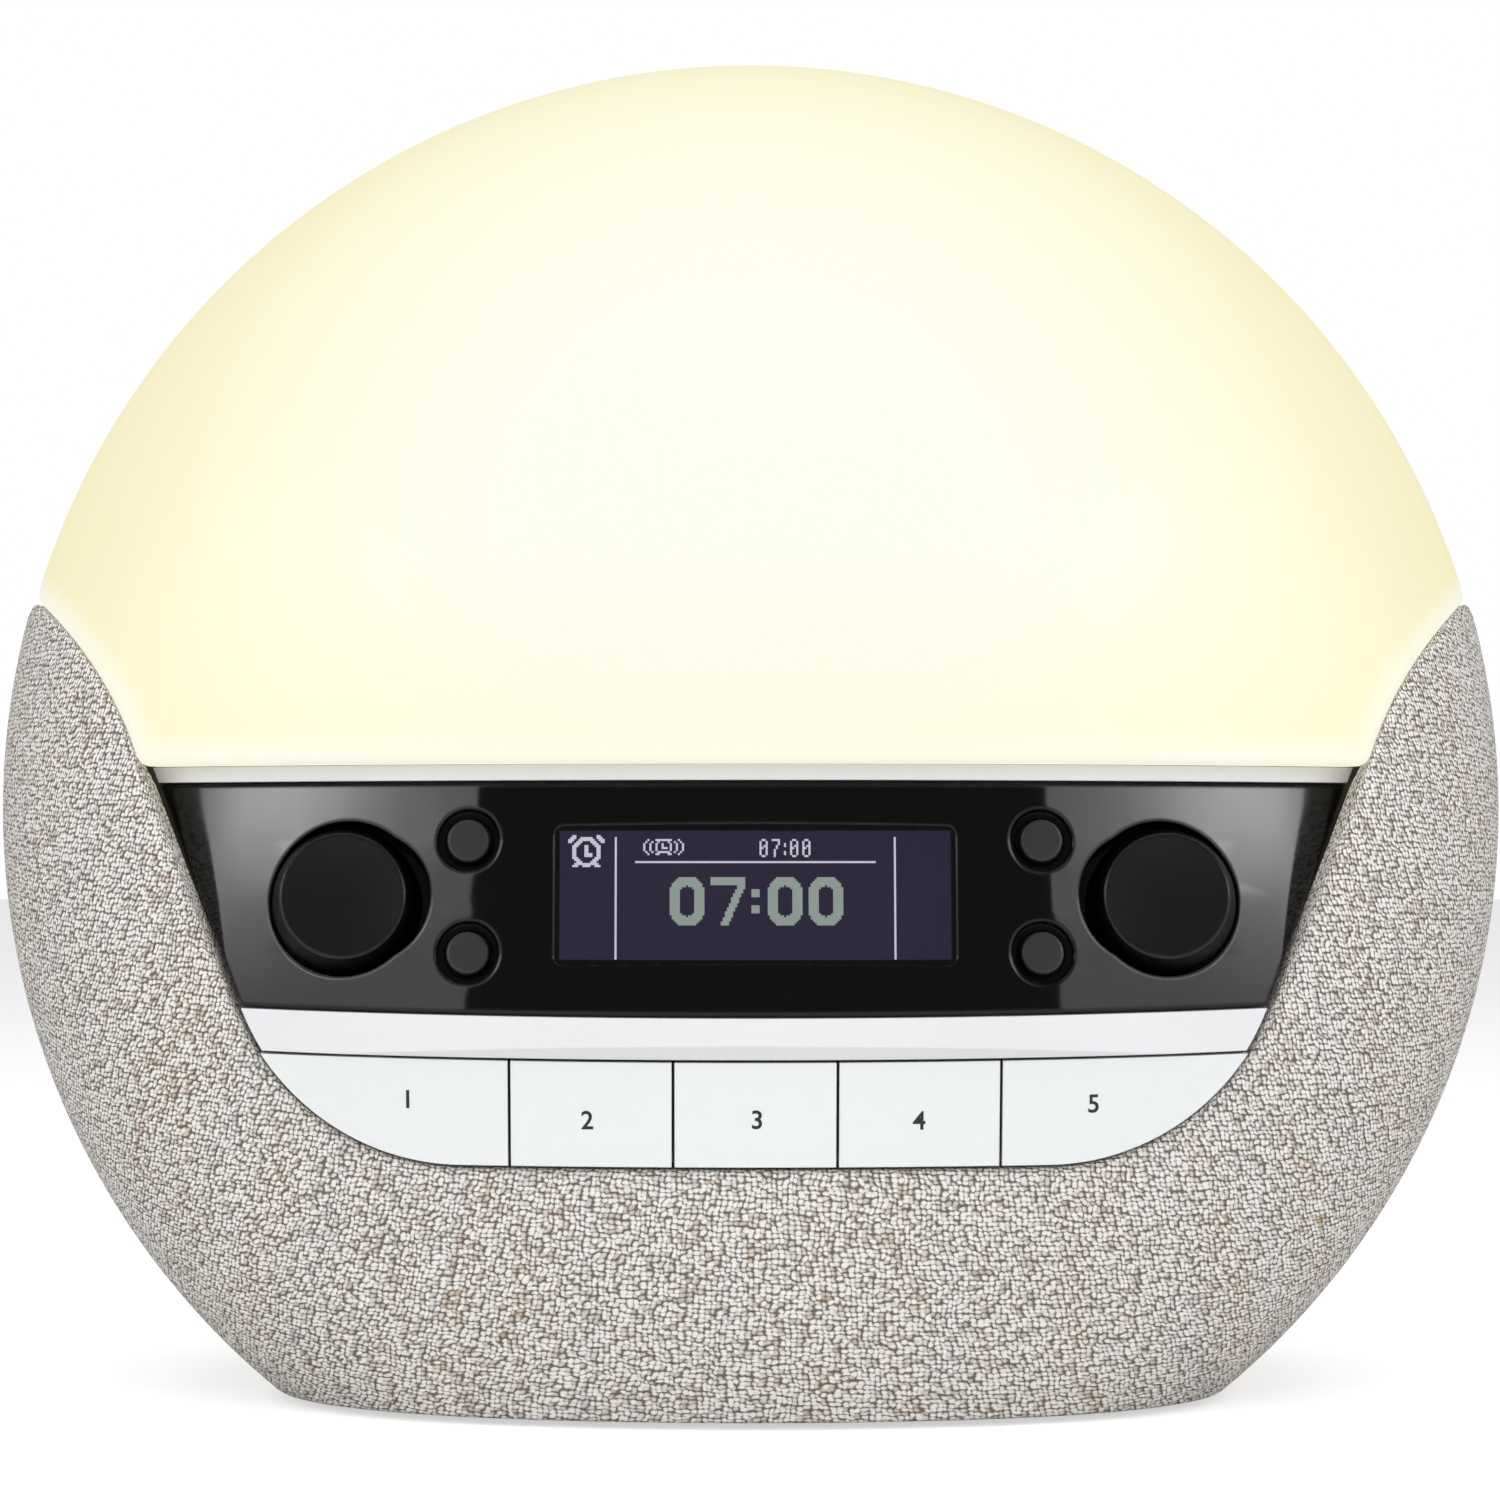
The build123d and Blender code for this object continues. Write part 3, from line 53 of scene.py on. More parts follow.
opening_floor = 38.1
opening_corner_x = 63.8
opening_corner_radius = 34.5
side_angle = 22.5
wing_bend_height = 97.5
wing_bend_radius = 48.0
wing_tip_radius = 3.0
fabric_bottom = 1.0
fabric_roll = 1.5
fabric_turn_in = 4.0            # how far the rolled edge runs into the opening
base_roll = 0.6
base_turn_in = 1.0
panel_side_roll = 3.0           # softer edge next to the panel and the strips
panel_side_flare = 0.6          # the turned-in fabric leans this far towards the panel's ends
panel_side_low, panel_side_high = 50.0, 96.0

dome_step = 0.5
dome_gap = 0.15
dome_floor = 93.85
dome_corner_radius = 2.0
dome_rim_radius = 4.5
dome_lip = 1.2
dome_back_lip = 0.4
dome_turn_in = 2.0
dome_tuck = 9.0                 # flange under the fabric at the wing tips
dome_tuck_depth = 2.6
wing_tip_start, wing_tip_ramp, wing_tip_top = 97.0, 4.0, 125.0
# width of the whiter band along the dome's front rim: a painted highlight in place of a wider rounded lip
painted_rim_highlight_width = 1.9
seam_depth = 8.0

fascia_front = -62.4
fascia_plan_radius = 160.0
panel_bottom = 59.4
panel_lean = 8.0
panel_soft_ends = (72.0, 88.0)  # the gloss softens between these, counted from the middle
window_rise = 16.6
window_width = 53.5
window_height = 17.7
key_plan_radius = 183.5
key_top = 52.9
key_face_top = -60.7
key_face_bottom = -58.8

knot_width, knot_height = 0.73, 0.77
glow_middle = 128.0             # height where the dome is brightest
glow_reach = (112.0, 100.0)     # half width and half height of the glow

fabric_step = 2.2               # edge lengths of the meshes
fabric_rim_step = 1.1
base_rim_step = 1.6
dome_step_length = 2.4
dome_rim_step = 1.2


# ------------------------------------------------------------------ finishes
def colour(code):
    """Colour written as six hexadecimal digits, as the shader takes it."""
    shares = [int(code[k:k + 2], 16) / 255 for k in (0, 2, 4)]
    return tuple(s / 12.92 if s <= 0.04045 else ((s + 0.055) / 1.055) ** 2.4 for s in shares) + (1.0,)


class Signal:
    """A socket that is used like a number."""

    def __init__(self, finish, socket):
        self.finish = finish
        self.socket = socket

    def __add__(self, other):
        return self.finish.sum("ADD", self, other)

    def __sub__(self, other):
        return self.finish.sum("SUBTRACT", self, other)

    def __rsub__(self, other):
        return self.finish.sum("SUBTRACT", other, self)

    def __mul__(self, other):
        return self.finish.sum("MULTIPLY", self, other)

    def __truediv__(self, other):
        return self.finish.sum("DIVIDE", self, other)

    __radd__ = __add__
    __rmul__ = __mul__


class Finish:
    """A material that is put together from nodes."""

    def __init__(self, name):
        self.material = bpy.data.materials.new(name)
        self.material.use_nodes = True
        self.tree = self.material.node_tree
        self.shader = self.tree.nodes["Principled BSDF"]

    def feed(self, socket, value):
        if isinstance(value, Signal):
            self.tree.links.new(value.socket, socket)
        else:
            socket.default_value = value

    def node(self, kind, settings=None, sockets=None, output=0):
        made = self.tree.nodes.new("ShaderNode" + kind)
        for name, value in (settings or {}).items():
            if name == "stops":
                self.set_stops(made.color_ramp, value)
            else:
                setattr(made, name, value)
        for key, value in (sockets or {}).items():
            self.feed(made.inputs[key], value)
        return Signal(self, made.outputs[output])

    def set_stops(self, ramp, stops):
        while len(ramp.elements) < len(stops):
            ramp.elements.new(1.0)
        for element, (place, tint) in zip(ramp.elements, stops):
            element.position = place
            element.color = tint

    def sum(self, operation, *terms):
        return self.node("Math", {"operation": operation}, dict(enumerate(terms)))

    def surface(self, sockets):
        for name, value in sockets.items():
            self.feed(self.shader.inputs[name], value)
        return self.material

    def place(self):
        return self.node("TexCoord", output="Object")

    def tint(self, share, first, second):
        return self.node("Mix", {"data_type": "RGBA"}, {0: share, 6: first, 7: second}, 2)

    def noise(self, scale, detail=2.0, place=None, roughness=0.5):
        return self.node("TexNoise", {}, {
            "Vector": place or self.place(), "Scale": scale, "Detail": detail, "Roughness": roughness})

    def soft_edges(self, radius):
        return self.node("Bevel", {"samples": 6}, {"Radius": radius})

    def bump(self, height, depth, strength=1.0, under=None):
        sockets = {"Height": height, "Distance": depth, "Strength": strength}
        if under:
            sockets["Normal"] = under
        return self.node("Bump", {}, sockets)


def moulded(name, tint, roughness, grain=0.00002, grain_scale=1800.0, edge=0.0003, shade=0.06, **more):
    """Moulded plastic: a fine grain, slightly uneven gloss and soft edges."""
    finish = Finish(name)
    broad = finish.noise(30.0, 3.0)
    fine = finish.noise(grain_scale, 2.0)
    darker = tuple(part * (1 - shade) for part in tint[:3]) + (1.0,)
    edges = finish.soft_edges(edge)
    return finish.surface({
        "Base Color": finish.tint(broad, darker, tint),
        "Roughness": roughness * (0.88 + broad * 0.24),
        "Normal": finish.bump(fine, grain, 1.0, edges),
        **more})


def metal(name, tint, roughness, streaks=(1.0, 1.0, 1.0)):
    """Metal with fine rolling or turning marks."""
    finish = Finish(name)
    stretched = finish.node("Mapping", {}, {"Vector": finish.place(), "Scale": streaks})
    marks = finish.noise(900.0, 3.0, stretched)
    darker = tuple(part * 0.8 for part in tint[:3]) + (1.0,)
    return finish.surface({
        "Base Color": finish.tint(marks, darker, tint),
        "Metallic": 1.0,
        "Roughness": roughness * (0.8 + marks * 0.4),
        "Normal": finish.bump(marks, 0.00001, 1.0, finish.soft_edges(0.0002))})


def panel_gloss():
    """Black gloss plastic, smooth in the middle and softer towards the panel's outer ends."""
    finish = Finish("panel_gloss")
    cloud = finish.noise(30.0, 3.0)
    across = finish.sum("ABSOLUTE", finish.node("SeparateXYZ", {}, {0: finish.place()}, "X"))
    end = finish.node("MapRange", {"interpolation_type": "SMOOTHSTEP"}, {
        "Value": across, 1: panel_soft_ends[0] * MM, 2: panel_soft_ends[1] * MM})
    return finish.surface({
        "Base Color": finish.tint(cloud, colour("070709"), colour("09090B")),
        "Roughness": 0.045 + end * 0.30,
        "Normal": finish.soft_edges(0.0007)})


def woven_fabric():
    """Melange weave: uneven knots with painted shade in the gaps between them, and tones that run upright in
    bands.
    """
    finish = Finish("woven_fabric")
    weave = finish.node("Attribute", {"attribute_name": "weave"}, output="Vector")
    axes = [finish.node("SeparateXYZ", {}, {0: weave}, name) for name in ("X", "Y")]
    wander = [finish.noise(scale, 2.0, weave) for scale in (0.14, 0.5)]
    across = (axes[0] * (axes[1] * 0.0045 + 1.16) + wander[0] * 2.0 + wander[1] * 0.8) / knot_width
    upward = (axes[1] + axes[0] * 0.06 + wander[1] * 1.2) / knot_height
    place = finish.node("CombineXYZ", {}, {"X": across, "Y": upward})
    spread = {"Vector": place, "Scale": 1.0, "Randomness": 0.46}
    off_knot, knot = (
        finish.node("TexVoronoi", {"voronoi_dimensions": "2D", "feature": "F1"}, spread, output)
        for output in ("Distance", "Color"))
    knot_tone = finish.node("SeparateColor", {}, {0: knot}, "Red")

    def thread_tone(along_x, along_y):
        thread = finish.node("CombineXYZ", {}, {"X": along_x, "Y": along_y})
        return finish.noise(1.0, 3.0, thread, 0.6)

    upright = thread_tone(across * 0.9, upward * 0.12)
    level = thread_tone(across * 0.12, upward * 0.9)
    band = thread_tone(across * 0.10, upward * 0.012)
    tone = knot_tone * 0.35 + upright * 0.35 + level * 0.30
    pale = finish.tint(band, colour("FFFDFA"), colour("FFFAF3"))
    deep = finish.tint(finish.node("MapRange", {"interpolation_type": "SMOOTHSTEP"}, {
        "Value": band, 1: 0.40, 2: 0.66}), colour("CEC8C3"), colour("CFB79F"))
    shade = finish.node("MapRange", {}, {"Value": tone, 1: 0.29, 2: 0.51})
    thread = finish.tint(shade, deep, pale)
    # the hollows between the knots take a darker brown: painted shade, not a thread colour
    painted_gap_shade = finish.tint(band, colour("7C736A"), colour("7A6A59"))
    # lifted is the knots' bump height and also the mask of the painted gap shade
    lifted = finish.node("MapRange", {"interpolation_type": "SMOOTHSTEP"}, {
        "Value": off_knot - (tone - 0.5) * 0.16, 1: 0.71, 2: 0.34})
    fuzz = finish.noise(9.0, 2.0, weave)
    return finish.surface({
        "Base Color": finish.tint(lifted, painted_gap_shade, thread),
        "Roughness": 0.80 + fuzz * 0.15,
        "Sheen Weight": 0.08,
        "Sheen Roughness": 0.5,
        "Specular IOR Level": 0.2,
        "Normal": finish.bump(lifted + fuzz * 0.3 + tone * 0.3, 0.00042, 1.0)})


def lit_diffuser():
    """Opal plastic with the lamp on behind it: warmer and dimmer towards the rim."""
    finish = Finish("lit_diffuser")
    axes = [finish.node("SeparateXYZ", {}, {0: finish.place()}, name) for name in ("X", "Z")]
    spread_x = axes[0] / (glow_reach[0] * MM)
    spread_z = (axes[1] - glow_middle * MM) / (glow_reach[1] * MM)
    reach = finish.sum("SQRT", spread_x * spread_x + spread_z * spread_z)
    cloud = finish.noise(14.0, 1.0)
    glow = finish.node("ValToRGB", {"stops": [
        (0.0, colour("FFFFF6")), (0.31, colour("FFFFF5")), (0.46, colour("FFFFEB")), (0.56, colour("FFFDE1")),
        (0.64, colour("FFFCD7")), (0.69, colour("FFF7CE")), (0.78, colour("FFF5C8")), (1.0, colour("FEF4C4"))]},
        {"Fac": reach * 0.92 + cloud * 0.06})
    low = finish.node("MapRange", {}, {"Value": axes[1], 1: 0.125, 2: 0.095})
    warm = finish.tint(low * 0.5, glow, colour("FFFCD1"))
    # the rim attribute whitens the glow along the front rim: a painted highlight, not lamp light
    rim = finish.node("Attribute", {"attribute_name": "rim"}, output="Fac")
    return finish.surface({
        "Base Color": (0.20, 0.195, 0.165, 1.0),
        "Roughness": 0.35 + cloud * 0.04,
        "Emission Color": finish.tint(rim, warm, colour("FFFFEB")),
        "Emission Strength": 0.76,
        "Specular IOR Level": 0.15,
        "Normal": finish.bump(finish.noise(900.0), 0.000004)})


def display_screen():
    """Dark tinted window with the faint violet light of a display behind it."""
    finish = Finish("display_screen")
    cloud = finish.noise(25.0, 2.0)
    axes = [finish.node("SeparateXYZ", {}, {0: finish.place()}, name) for name in ("X", "Z")]
    upright = cos(radians(panel_lean))
    middle = (panel_bottom + window_rise * upright) * MM
    off_side = finish.sum("ABSOLUTE", axes[0]) - window_width / 2 * MM
    off_level = finish.sum("ABSOLUTE", axes[1] - middle) - window_height / 2 * upright * MM
    off_display = finish.sum("MAXIMUM", off_side, off_level)
    border = finish.node("MapRange", {}, {"Value": off_display, 1: -0.00005, 2: 0.00015})
    base = finish.tint(cloud, colour("1E1B2A"), colour("252232"))
    glow = finish.tint(cloud, colour("272338"), colour("322C46"))
    return finish.surface({
        "Base Color": finish.tint(border, base, colour("09090B")),
        "Roughness": 0.10 + cloud * 0.02,
        "Emission Color": finish.tint(border, glow, (0.0, 0.0, 0.0, 1.0)),
        "Emission Strength": 0.25})


def printed(name, tint, light=0.0):
    finish = Finish(name)
    cloud = finish.noise(400.0, 2.0)
    darker = tuple(part * 0.9 for part in tint[:3]) + (1.0,)
    mixed = finish.tint(cloud, darker, tint)
    return finish.surface({
        "Base Color": mixed, "Roughness": 0.45 + cloud * 0.1,
        "Emission Color": mixed, "Emission Strength": light})


fabric_look = woven_fabric()
diffuser_look = lit_diffuser()
screen_look = display_screen()
trim_look = moulded("pale_trim", colour("EBEBEE"), 0.22, grain=0.000003, edge=0.00035)
key_look = moulded("key_white", colour("EDF0F0"), 0.25, grain=0.000003, edge=0.0003, shade=0.02)
panel_look = panel_gloss()
knob_look = moulded("knob_black", colour("0F0F11"), 0.32, grain=0.000006, edge=0.0007, shade=0.1)
button_look = moulded("button_dark", colour("2C2C2F"), 0.42, grain=0.000006, edge=0.0003, shade=0.1)
shell_look = moulded("moulded_shell", colour("D0CDC8"), 0.5)
cover_look = moulded("rear_cover", colour("DEDBD5"), 0.45, grain=0.00003, grain_scale=1200.0, edge=0.0005)
dark_look = moulded("dark_plastic", colour("1C1C1E"), 0.45)
inner_look = moulded("grey_plastic", colour("5A5A5E"), 0.5)
white_look = moulded("white_plastic", colour("EBEBE8"), 0.4)
rubber_look = moulded("foot_rubber", colour("161616"), 0.8, grain=0.00004, grain_scale=900.0)
board_look = moulded("circuit_board", colour("0F4A24"), 0.35, grain=0.00001, grain_scale=500.0, shade=0.25)
lamp_board_look = moulded("lamp_board", colour("F0F0EC"), 0.35)
led_look = moulded("led_resin", colour("F2D66A"), 0.2)
cone_look = moulded("paper_cone", colour("232325"), 0.85, grain=0.00006, grain_scale=700.0)
steel_look = metal("plated_steel", colour("C6C6CA"), 0.32, (1.0, 1.0, 0.1))
screw_look = metal("zinc_screw", colour("A8A8AE"), 0.38)
brass_look = metal("turned_brass", colour("D9B566"), 0.3)
aluminium_look = metal("rolled_aluminium", colour("D2D3D6"), 0.4, (0.1, 1.0, 1.0))
magnet_look = metal("ferrite", colour("55555A"), 0.6)
digit_look = printed("digit_ink", colour("222426"))
mark_look = printed("display_marks", colour("9F9FAE"), 0.50)
time_look = printed("display_time", colour("6F7975"), 0.50)

node_looks = {
    "cradle_shell": shell_look, "top_trim_strip": trim_look, "lower_trim_strip": trim_look,
    "control_panel": panel_look, "display_window": screen_look, "fascia_frame": inner_look,
    "chassis": inner_look, "rear_housing": cover_look, "base_plate": cover_look, "socket_plate": cover_look,
    "rubber_feet": rubber_look, "dc_inlet": dark_look, "usb_socket": steel_look, "aux_socket": dark_look,
    "display_module": dark_look, "display_standoffs": brass_look, "board_chips": dark_look,
    "board_capacitors": aluminium_look, "coin_cell_holder": dark_look, "coin_cell": steel_look,
    "button_switches": dark_look, "key_switches": dark_look, "light_tray": white_look,
    "led_board": lamp_board_look, "leds": led_look, "heat_sink": aluminium_look}
for board in ("main_board", "control_board", "key_board", "socket_board"):
    node_looks[board] = board_look
for screws in ("board_screws", "chassis_screws", "rear_screws", "base_screws"):
    node_looks[screws] = screw_look
for side in ("left", "right"):
    node_looks.update({
        f"{side}_knob": knob_look, f"{side}_encoder_body": steel_look,
        f"{side}_encoder_shaft": aluminium_look, f"{side}_encoder_plunger": white_look,
        f"button_upper_{side}": button_look, f"button_lower_{side}": button_look,
        f"{side}_speaker_frame": dark_look, f"{side}_speaker_cone": cone_look,
        f"{side}_speaker_magnet": magnet_look})
for number in range(1, 6):
    node_looks[f"preset_key_{number}"] = key_look
for node, look in node_looks.items():
    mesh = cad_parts[node].data
    mesh.materials.clear()
    mesh.materials.append(look)


# ------------------------------------------------------------------- shapes
def arc(centre, radius, start, end, step=0.5):
    """Points on an arc between two angles, with both ends."""
    count = max(2, ceil(abs(end - start) * radius / step))
    angles = [start + (end - start) * k / count for k in range(count + 1)]
    return [(centre[0] + radius * cos(a), centre[1] + radius * sin(a)) for a in angles]


def direction(start, end):
    return atan2(end[1] - start[1], end[0] - start[0])


def circles_cross(centre_a, radius_a, centre_b, radius_b):
    """Upper crossing point of two circles."""
    apart = hypot(centre_b[0] - centre_a[0], centre_b[1] - centre_a[1])
    along = (apart**2 + radius_a**2 - radius_b**2) / (2 * apart)
    across = sqrt(radius_a**2 - along**2)
    dx, dz = (centre_b[0] - centre_a[0]) / apart, (centre_b[1] - centre_a[1]) / apart
    return (centre_a[0] + along * dx - across * dz, centre_a[1] + along * dz + across * dx)


def opening_edge(inset, rim_radius, outer_radius, outward, floor=None, corner=None):
    """Right half of the opening's edge, from its middle up to the body's outline."""
    slope = radians(side_angle)
    bend_x = opening_corner_x + (wing_bend_height - opening_floor) * tan(slope)
    bend_centre = (bend_x + wing_bend_radius * cos(slope), wing_bend_height - wing_bend_radius * sin(slope))
    bend_radius = wing_bend_radius + inset
    middle = (0.0, centre_height)
    rim = circles_cross(middle, outer_radius - rim_radius, bend_centre, bend_radius + outward * rim_radius)
    bend_end = direction(bend_centre, rim)
    rim_end = direction(middle, rim)
    rim_start = bend_end + pi if outward > 0 else bend_end
    if floor is None:
        corner_run = opening_corner_radius * tan((pi / 2 - slope) / 2)
        corner_x = opening_corner_x - corner_run
        points = [(corner_x * k / 60, opening_floor + inset) for k in range(60)]
        corner_centre = (corner_x, opening_floor + opening_corner_radius)
        points += arc(corner_centre, opening_corner_radius - inset, -pi / 2, -slope)
        bend_start = pi - slope
        low = points[-1]
        high = (bend_centre[0] + bend_radius * cos(bend_start), bend_centre[1] + bend_radius * sin(bend_start))
        rise = (high[0] - low[0], high[1] - low[1])
        points += [(low[0] + rise[0] * k / 50, low[1] + rise[1] * k / 50) for k in range(1, 50)]
    else:
        height = floor + corner
        reach = bend_radius + corner
        corner_x = bend_centre[0] - sqrt(reach**2 - (height - bend_centre[1])**2)
        bend_start = direction(bend_centre, (corner_x, height))
        points = [(corner_x * k / 60, floor) for k in range(60)]
        points += arc((corner_x, height), corner, -pi / 2, bend_start - pi)
    points += arc(bend_centre, bend_radius, bend_start, bend_end)
    if outward > 0:
        while rim_start > rim_end:
            rim_start -= 2 * pi
    points += arc(rim, rim_radius, rim_start, rim_end, 0.1)
    return points


class Pebble:
    """The rounded body's surface, spread flat round its front nose."""

    def __init__(self, inset):
        self.nose = nose_radius - inset
        self.girdle = girdle_radius - inset
        self.nose_centre = nose_radius - half_depth
        self.turn = atan2(girdle_centre, self.nose_centre)
        self.nose_run = self.nose * self.turn
        self.girdle_run = self.girdle * (pi - 2 * self.turn)

    def run(self, angle):
        """Way along the surface from the nose to where its normal has turned by angle."""
        if angle <= self.turn:
            return self.nose * angle
        if angle <= pi - self.turn:
            return self.nose_run + self.girdle * (angle - self.turn)
        return self.nose_run + self.girdle_run + self.nose * (angle - pi + self.turn)

    def at(self, u, v):
        run = hypot(u, v)
        side = (u / run, v / run) if run else (1.0, 0.0)
        if run <= self.nose_run:
            angle = run / self.nose
            radius, depth = self.nose * sin(angle), self.nose_centre - self.nose * cos(angle)
        elif run <= self.nose_run + self.girdle_run:
            angle = self.turn + (run - self.nose_run) / self.girdle
            radius, depth = girdle_centre + self.girdle * sin(angle), -self.girdle * cos(angle)
        else:
            angle = pi - self.turn + (run - self.nose_run - self.girdle_run) / self.nose
            radius, depth = self.nose * sin(angle), -self.nose_centre - self.nose * cos(angle)
        point = Vector((side[0] * radius, depth, centre_height + side[1] * radius))
        return point, Vector((side[0] * sin(angle), -cos(angle), side[1] * sin(angle)))

    def flat(self, point):
        radius = hypot(point[0], point[2] - centre_height)
        angle = atan2(radius - girdle_centre, -point[1])
        if point[1] < 0 and angle < self.turn:
            angle = atan2(radius, self.nose_centre - point[1])
        elif point[1] >= 0 and not 0 < angle < pi - self.turn:
            angle = atan2(radius, -self.nose_centre - point[1])
        run = self.run(angle)
        return (point[0] / radius * run, (point[2] - centre_height) / radius * run)

    def seen(self, x, z, back=False):
        """Flat place of a point of the outline seen from the front."""
        radius = hypot(x, z - centre_height)
        if radius <= self.nose * sin(self.turn):
            angle = asin(radius / self.nose)
        else:
            angle = asin(min(1.0, (radius - girdle_centre) / self.girdle))
        run = self.run(pi - angle if back else angle)
        return (x / radius * run, (z - centre_height) / radius * run)


def evenly(surface, loop, step):
    """Closed flat loop divided anew, with even steps along the surface."""
    points = [surface.at(*place)[0] for place in loop]
    lengths = [(points[k] - points[k - 1]).length for k in range(len(points))]
    total = sum(lengths)
    count = round(total / step)
    spread, walked, k = [], 0.0, 1
    for number in range(count):
        target = total * number / count
        while walked + lengths[k % len(loop)] < target:
            walked += lengths[k % len(loop)]
            k += 1
        share = (target - walked) / lengths[k % len(loop)]
        a, b = loop[k - 1], loop[k % len(loop)]
        spread.append((a[0] + (b[0] - a[0]) * share, a[1] + (b[1] - a[1]) * share))
    return spread


def turned(loop, leftwards):
    """The loop, running leftwards round its inside or the other way."""
    area = sum(a[0] * b[1] - a[1] * b[0] for a, b in zip(loop, loop[1:] + loop[:1]))
    return loop if (area > 0) == leftwards else loop[::-1]


def inside(places, loop):
    """Which of the flat places lie inside the loop."""
    places, ends = np.array(places), np.array(loop)
    hits = np.zeros(len(places), bool)
    for (ax, ay), (bx, by) in zip(ends, np.roll(ends, -1, axis=0)):
        if ay != by:
            crosses = (ay > places[:, 1]) != (by > places[:, 1])
            hits ^= crosses & (places[:, 0] < (bx - ax) * (places[:, 1] - ay) / (by - ay) + ax)
    return hits


class Piece:
    """Points, normals and faces of one piece, gathered before its mesh is made."""

    def __init__(self):
        self.points, self.normals, self.faces, self.extra = [], [], [], []

    def put(self, point, normal, extra=(0.0, 0.0, 0.0)):
        self.points.append(Vector(point))
        self.normals.append(Vector(normal).normalized())
        self.extra.append(extra)
        return len(self.points) - 1

    def face(self, *corners):
        a, b, c = (self.points[k] for k in corners[:3])
        outward = sum((self.normals[k] for k in corners), Vector())
        self.faces.append(corners if (b - a).cross(c - b).dot(outward) > 0 else corners[::-1])

    def band(self, first, second):
        """Faces between two closed rings of the same length."""
        for k in range(len(first)):
            self.face(first[k - 1], first[k], second[k], second[k - 1])

    def skin(self, surface, loops, step, extra):
        """Fills the first loop, less the others, with even triangles; gives the rings on the loops."""
        every = [place for loop in loops for place in loop]
        low, high = np.min(every, axis=0), np.max(every, axis=0)
        rows = np.arange(low[1], high[1], step * 0.87)
        columns = np.arange(low[0], high[0], step)
        grid = [(x + (k % 2) * step / 2, y) for k, y in enumerate(rows) for x in columns]
        keep = inside(grid, loops[0])
        for hole in loops[1:]:
            keep &= ~inside(grid, hole)
        grid = np.array(grid)[keep]
        edge = np.array(every)
        near = np.array([np.min(np.sum((edge - place)**2, axis=1)) for place in grid])
        grid = [tuple(place) for place in grid[near > (step * 0.65)**2]]
        places = [Vector(place) for place in every + grid]
        edges, start = [], 0
        for loop in loops:
            edges += [(start + k, start + (k + 1) % len(loop)) for k in range(len(loop))]
            start += len(loop)
        flat, _, triangles, origins, _, _ = delaunay_2d_cdt(places, edges, [], 0, 1e-6)
        numbers = {}
        for new, old in enumerate(origins):
            for name in old:
                numbers[name] = new
        middles = [sum((flat[k] for k in t), Vector((0, 0))) / 3 for t in triangles]
        keep = inside(middles, loops[0])
        for hole in loops[1:]:
            keep &= ~inside(middles, hole)
        made = [self.put(*surface.at(*place), extra(place)) for place in flat]
        for triangle, wanted in zip(triangles, keep):
            if wanted:
                self.face(*(made[k] for k in triangle))
        rings, start = [], 0
        for loop in loops:
            rings.append([made[numbers[start + k]] for k in range(len(loop))])
            start += len(loop)
        return rings

    def make(self, name, look, body, replaced=(), extra_name=None):
        mesh = bpy.data.meshes.new(name)
        mesh.from_pydata([p * MM for p in self.points], [], self.faces)
        mesh.normals_split_custom_set_from_vertices(self.normals)
        if extra_name:
            attribute = mesh.attributes.new(extra_name, "FLOAT_VECTOR", "POINT")
            attribute.data.foreach_set("vector", [part for place in self.extra for part in place])
        mesh.materials.append(look)
        made = bpy.data.objects.new(name, mesh)
        bpy.context.scene.collection.objects.link(made)
        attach(made, body)
        if replaced:
            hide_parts(*replaced)
        return made


def rolled_edge(piece, surface, loop, radius_at, wall, extra, flare_at=None, tuck_at=None):
    """Rings that round the loop's edge off and turn it in; gives the flat loop where the rounding starts.

    Where tuck_at gives a length, a flange runs on that far under the neighbouring piece."""
    at = [surface.at(*place) for place in loop]
    count = len(loop)
    rows = []
    inner = []
    for k in range(count):
        point, normal = at[k]
        along = (at[(k + 1) % count][0] - at[k - 1][0]).normalized()
        inward = normal.cross(along).normalized()
        radius = radius_at(point)
        share = min(1.0, abs(point.y) / 12.0)
        straight = Vector((0, -1 if point.y > 0 else 1, 0))
        down = (-normal * (1 - share) + straight * share).normalized()
        start = surface.flat(point + inward * radius)
        inner.append(start)
        outward = (Vector(loop[k]) - Vector(start)).normalized()
        ring = []
        for turn in range(1, 7):
            angle = pi / 2 * (1 - turn / 6)
            base = surface.at(*surface.flat(point + inward * radius * (1 - cos(angle))))[0]
            place = Vector(start) + outward * radius * (pi / 2 - angle)
            facing = normal * sin(angle) - inward * cos(angle)
            ring.append((base + down * radius * (1 - sin(angle)), facing, extra(place)))
        depth = min(wall, 0.3 * abs(point.y) + 1.0)
        flare = -inward * (flare_at(point) if flare_at else 0.0)
        ring.append((ring[-1][0] + down * depth + flare, -inward, extra(place + outward * depth)))
        if tuck_at:
            under, facing = surface.at(*surface.flat(point - inward * tuck_at(point)))
            ring.append((under - facing * dome_tuck_depth, facing, extra(place)))
        rows.append(ring)
    rings = [[piece.put(*rows[k][turn]) for k in range(count)] for turn in range(len(rows[0]))]
    for first, second in zip(rings, rings[1:]):
        piece.band(first, second)
    return inner, rings[0]


# -------------------------------------------------------------------- fabric
def mirrored(half):
    """Both halves of an edge, from the left end to the right one."""
    return [(-x, z) for x, z in half[:0:-1]] + half


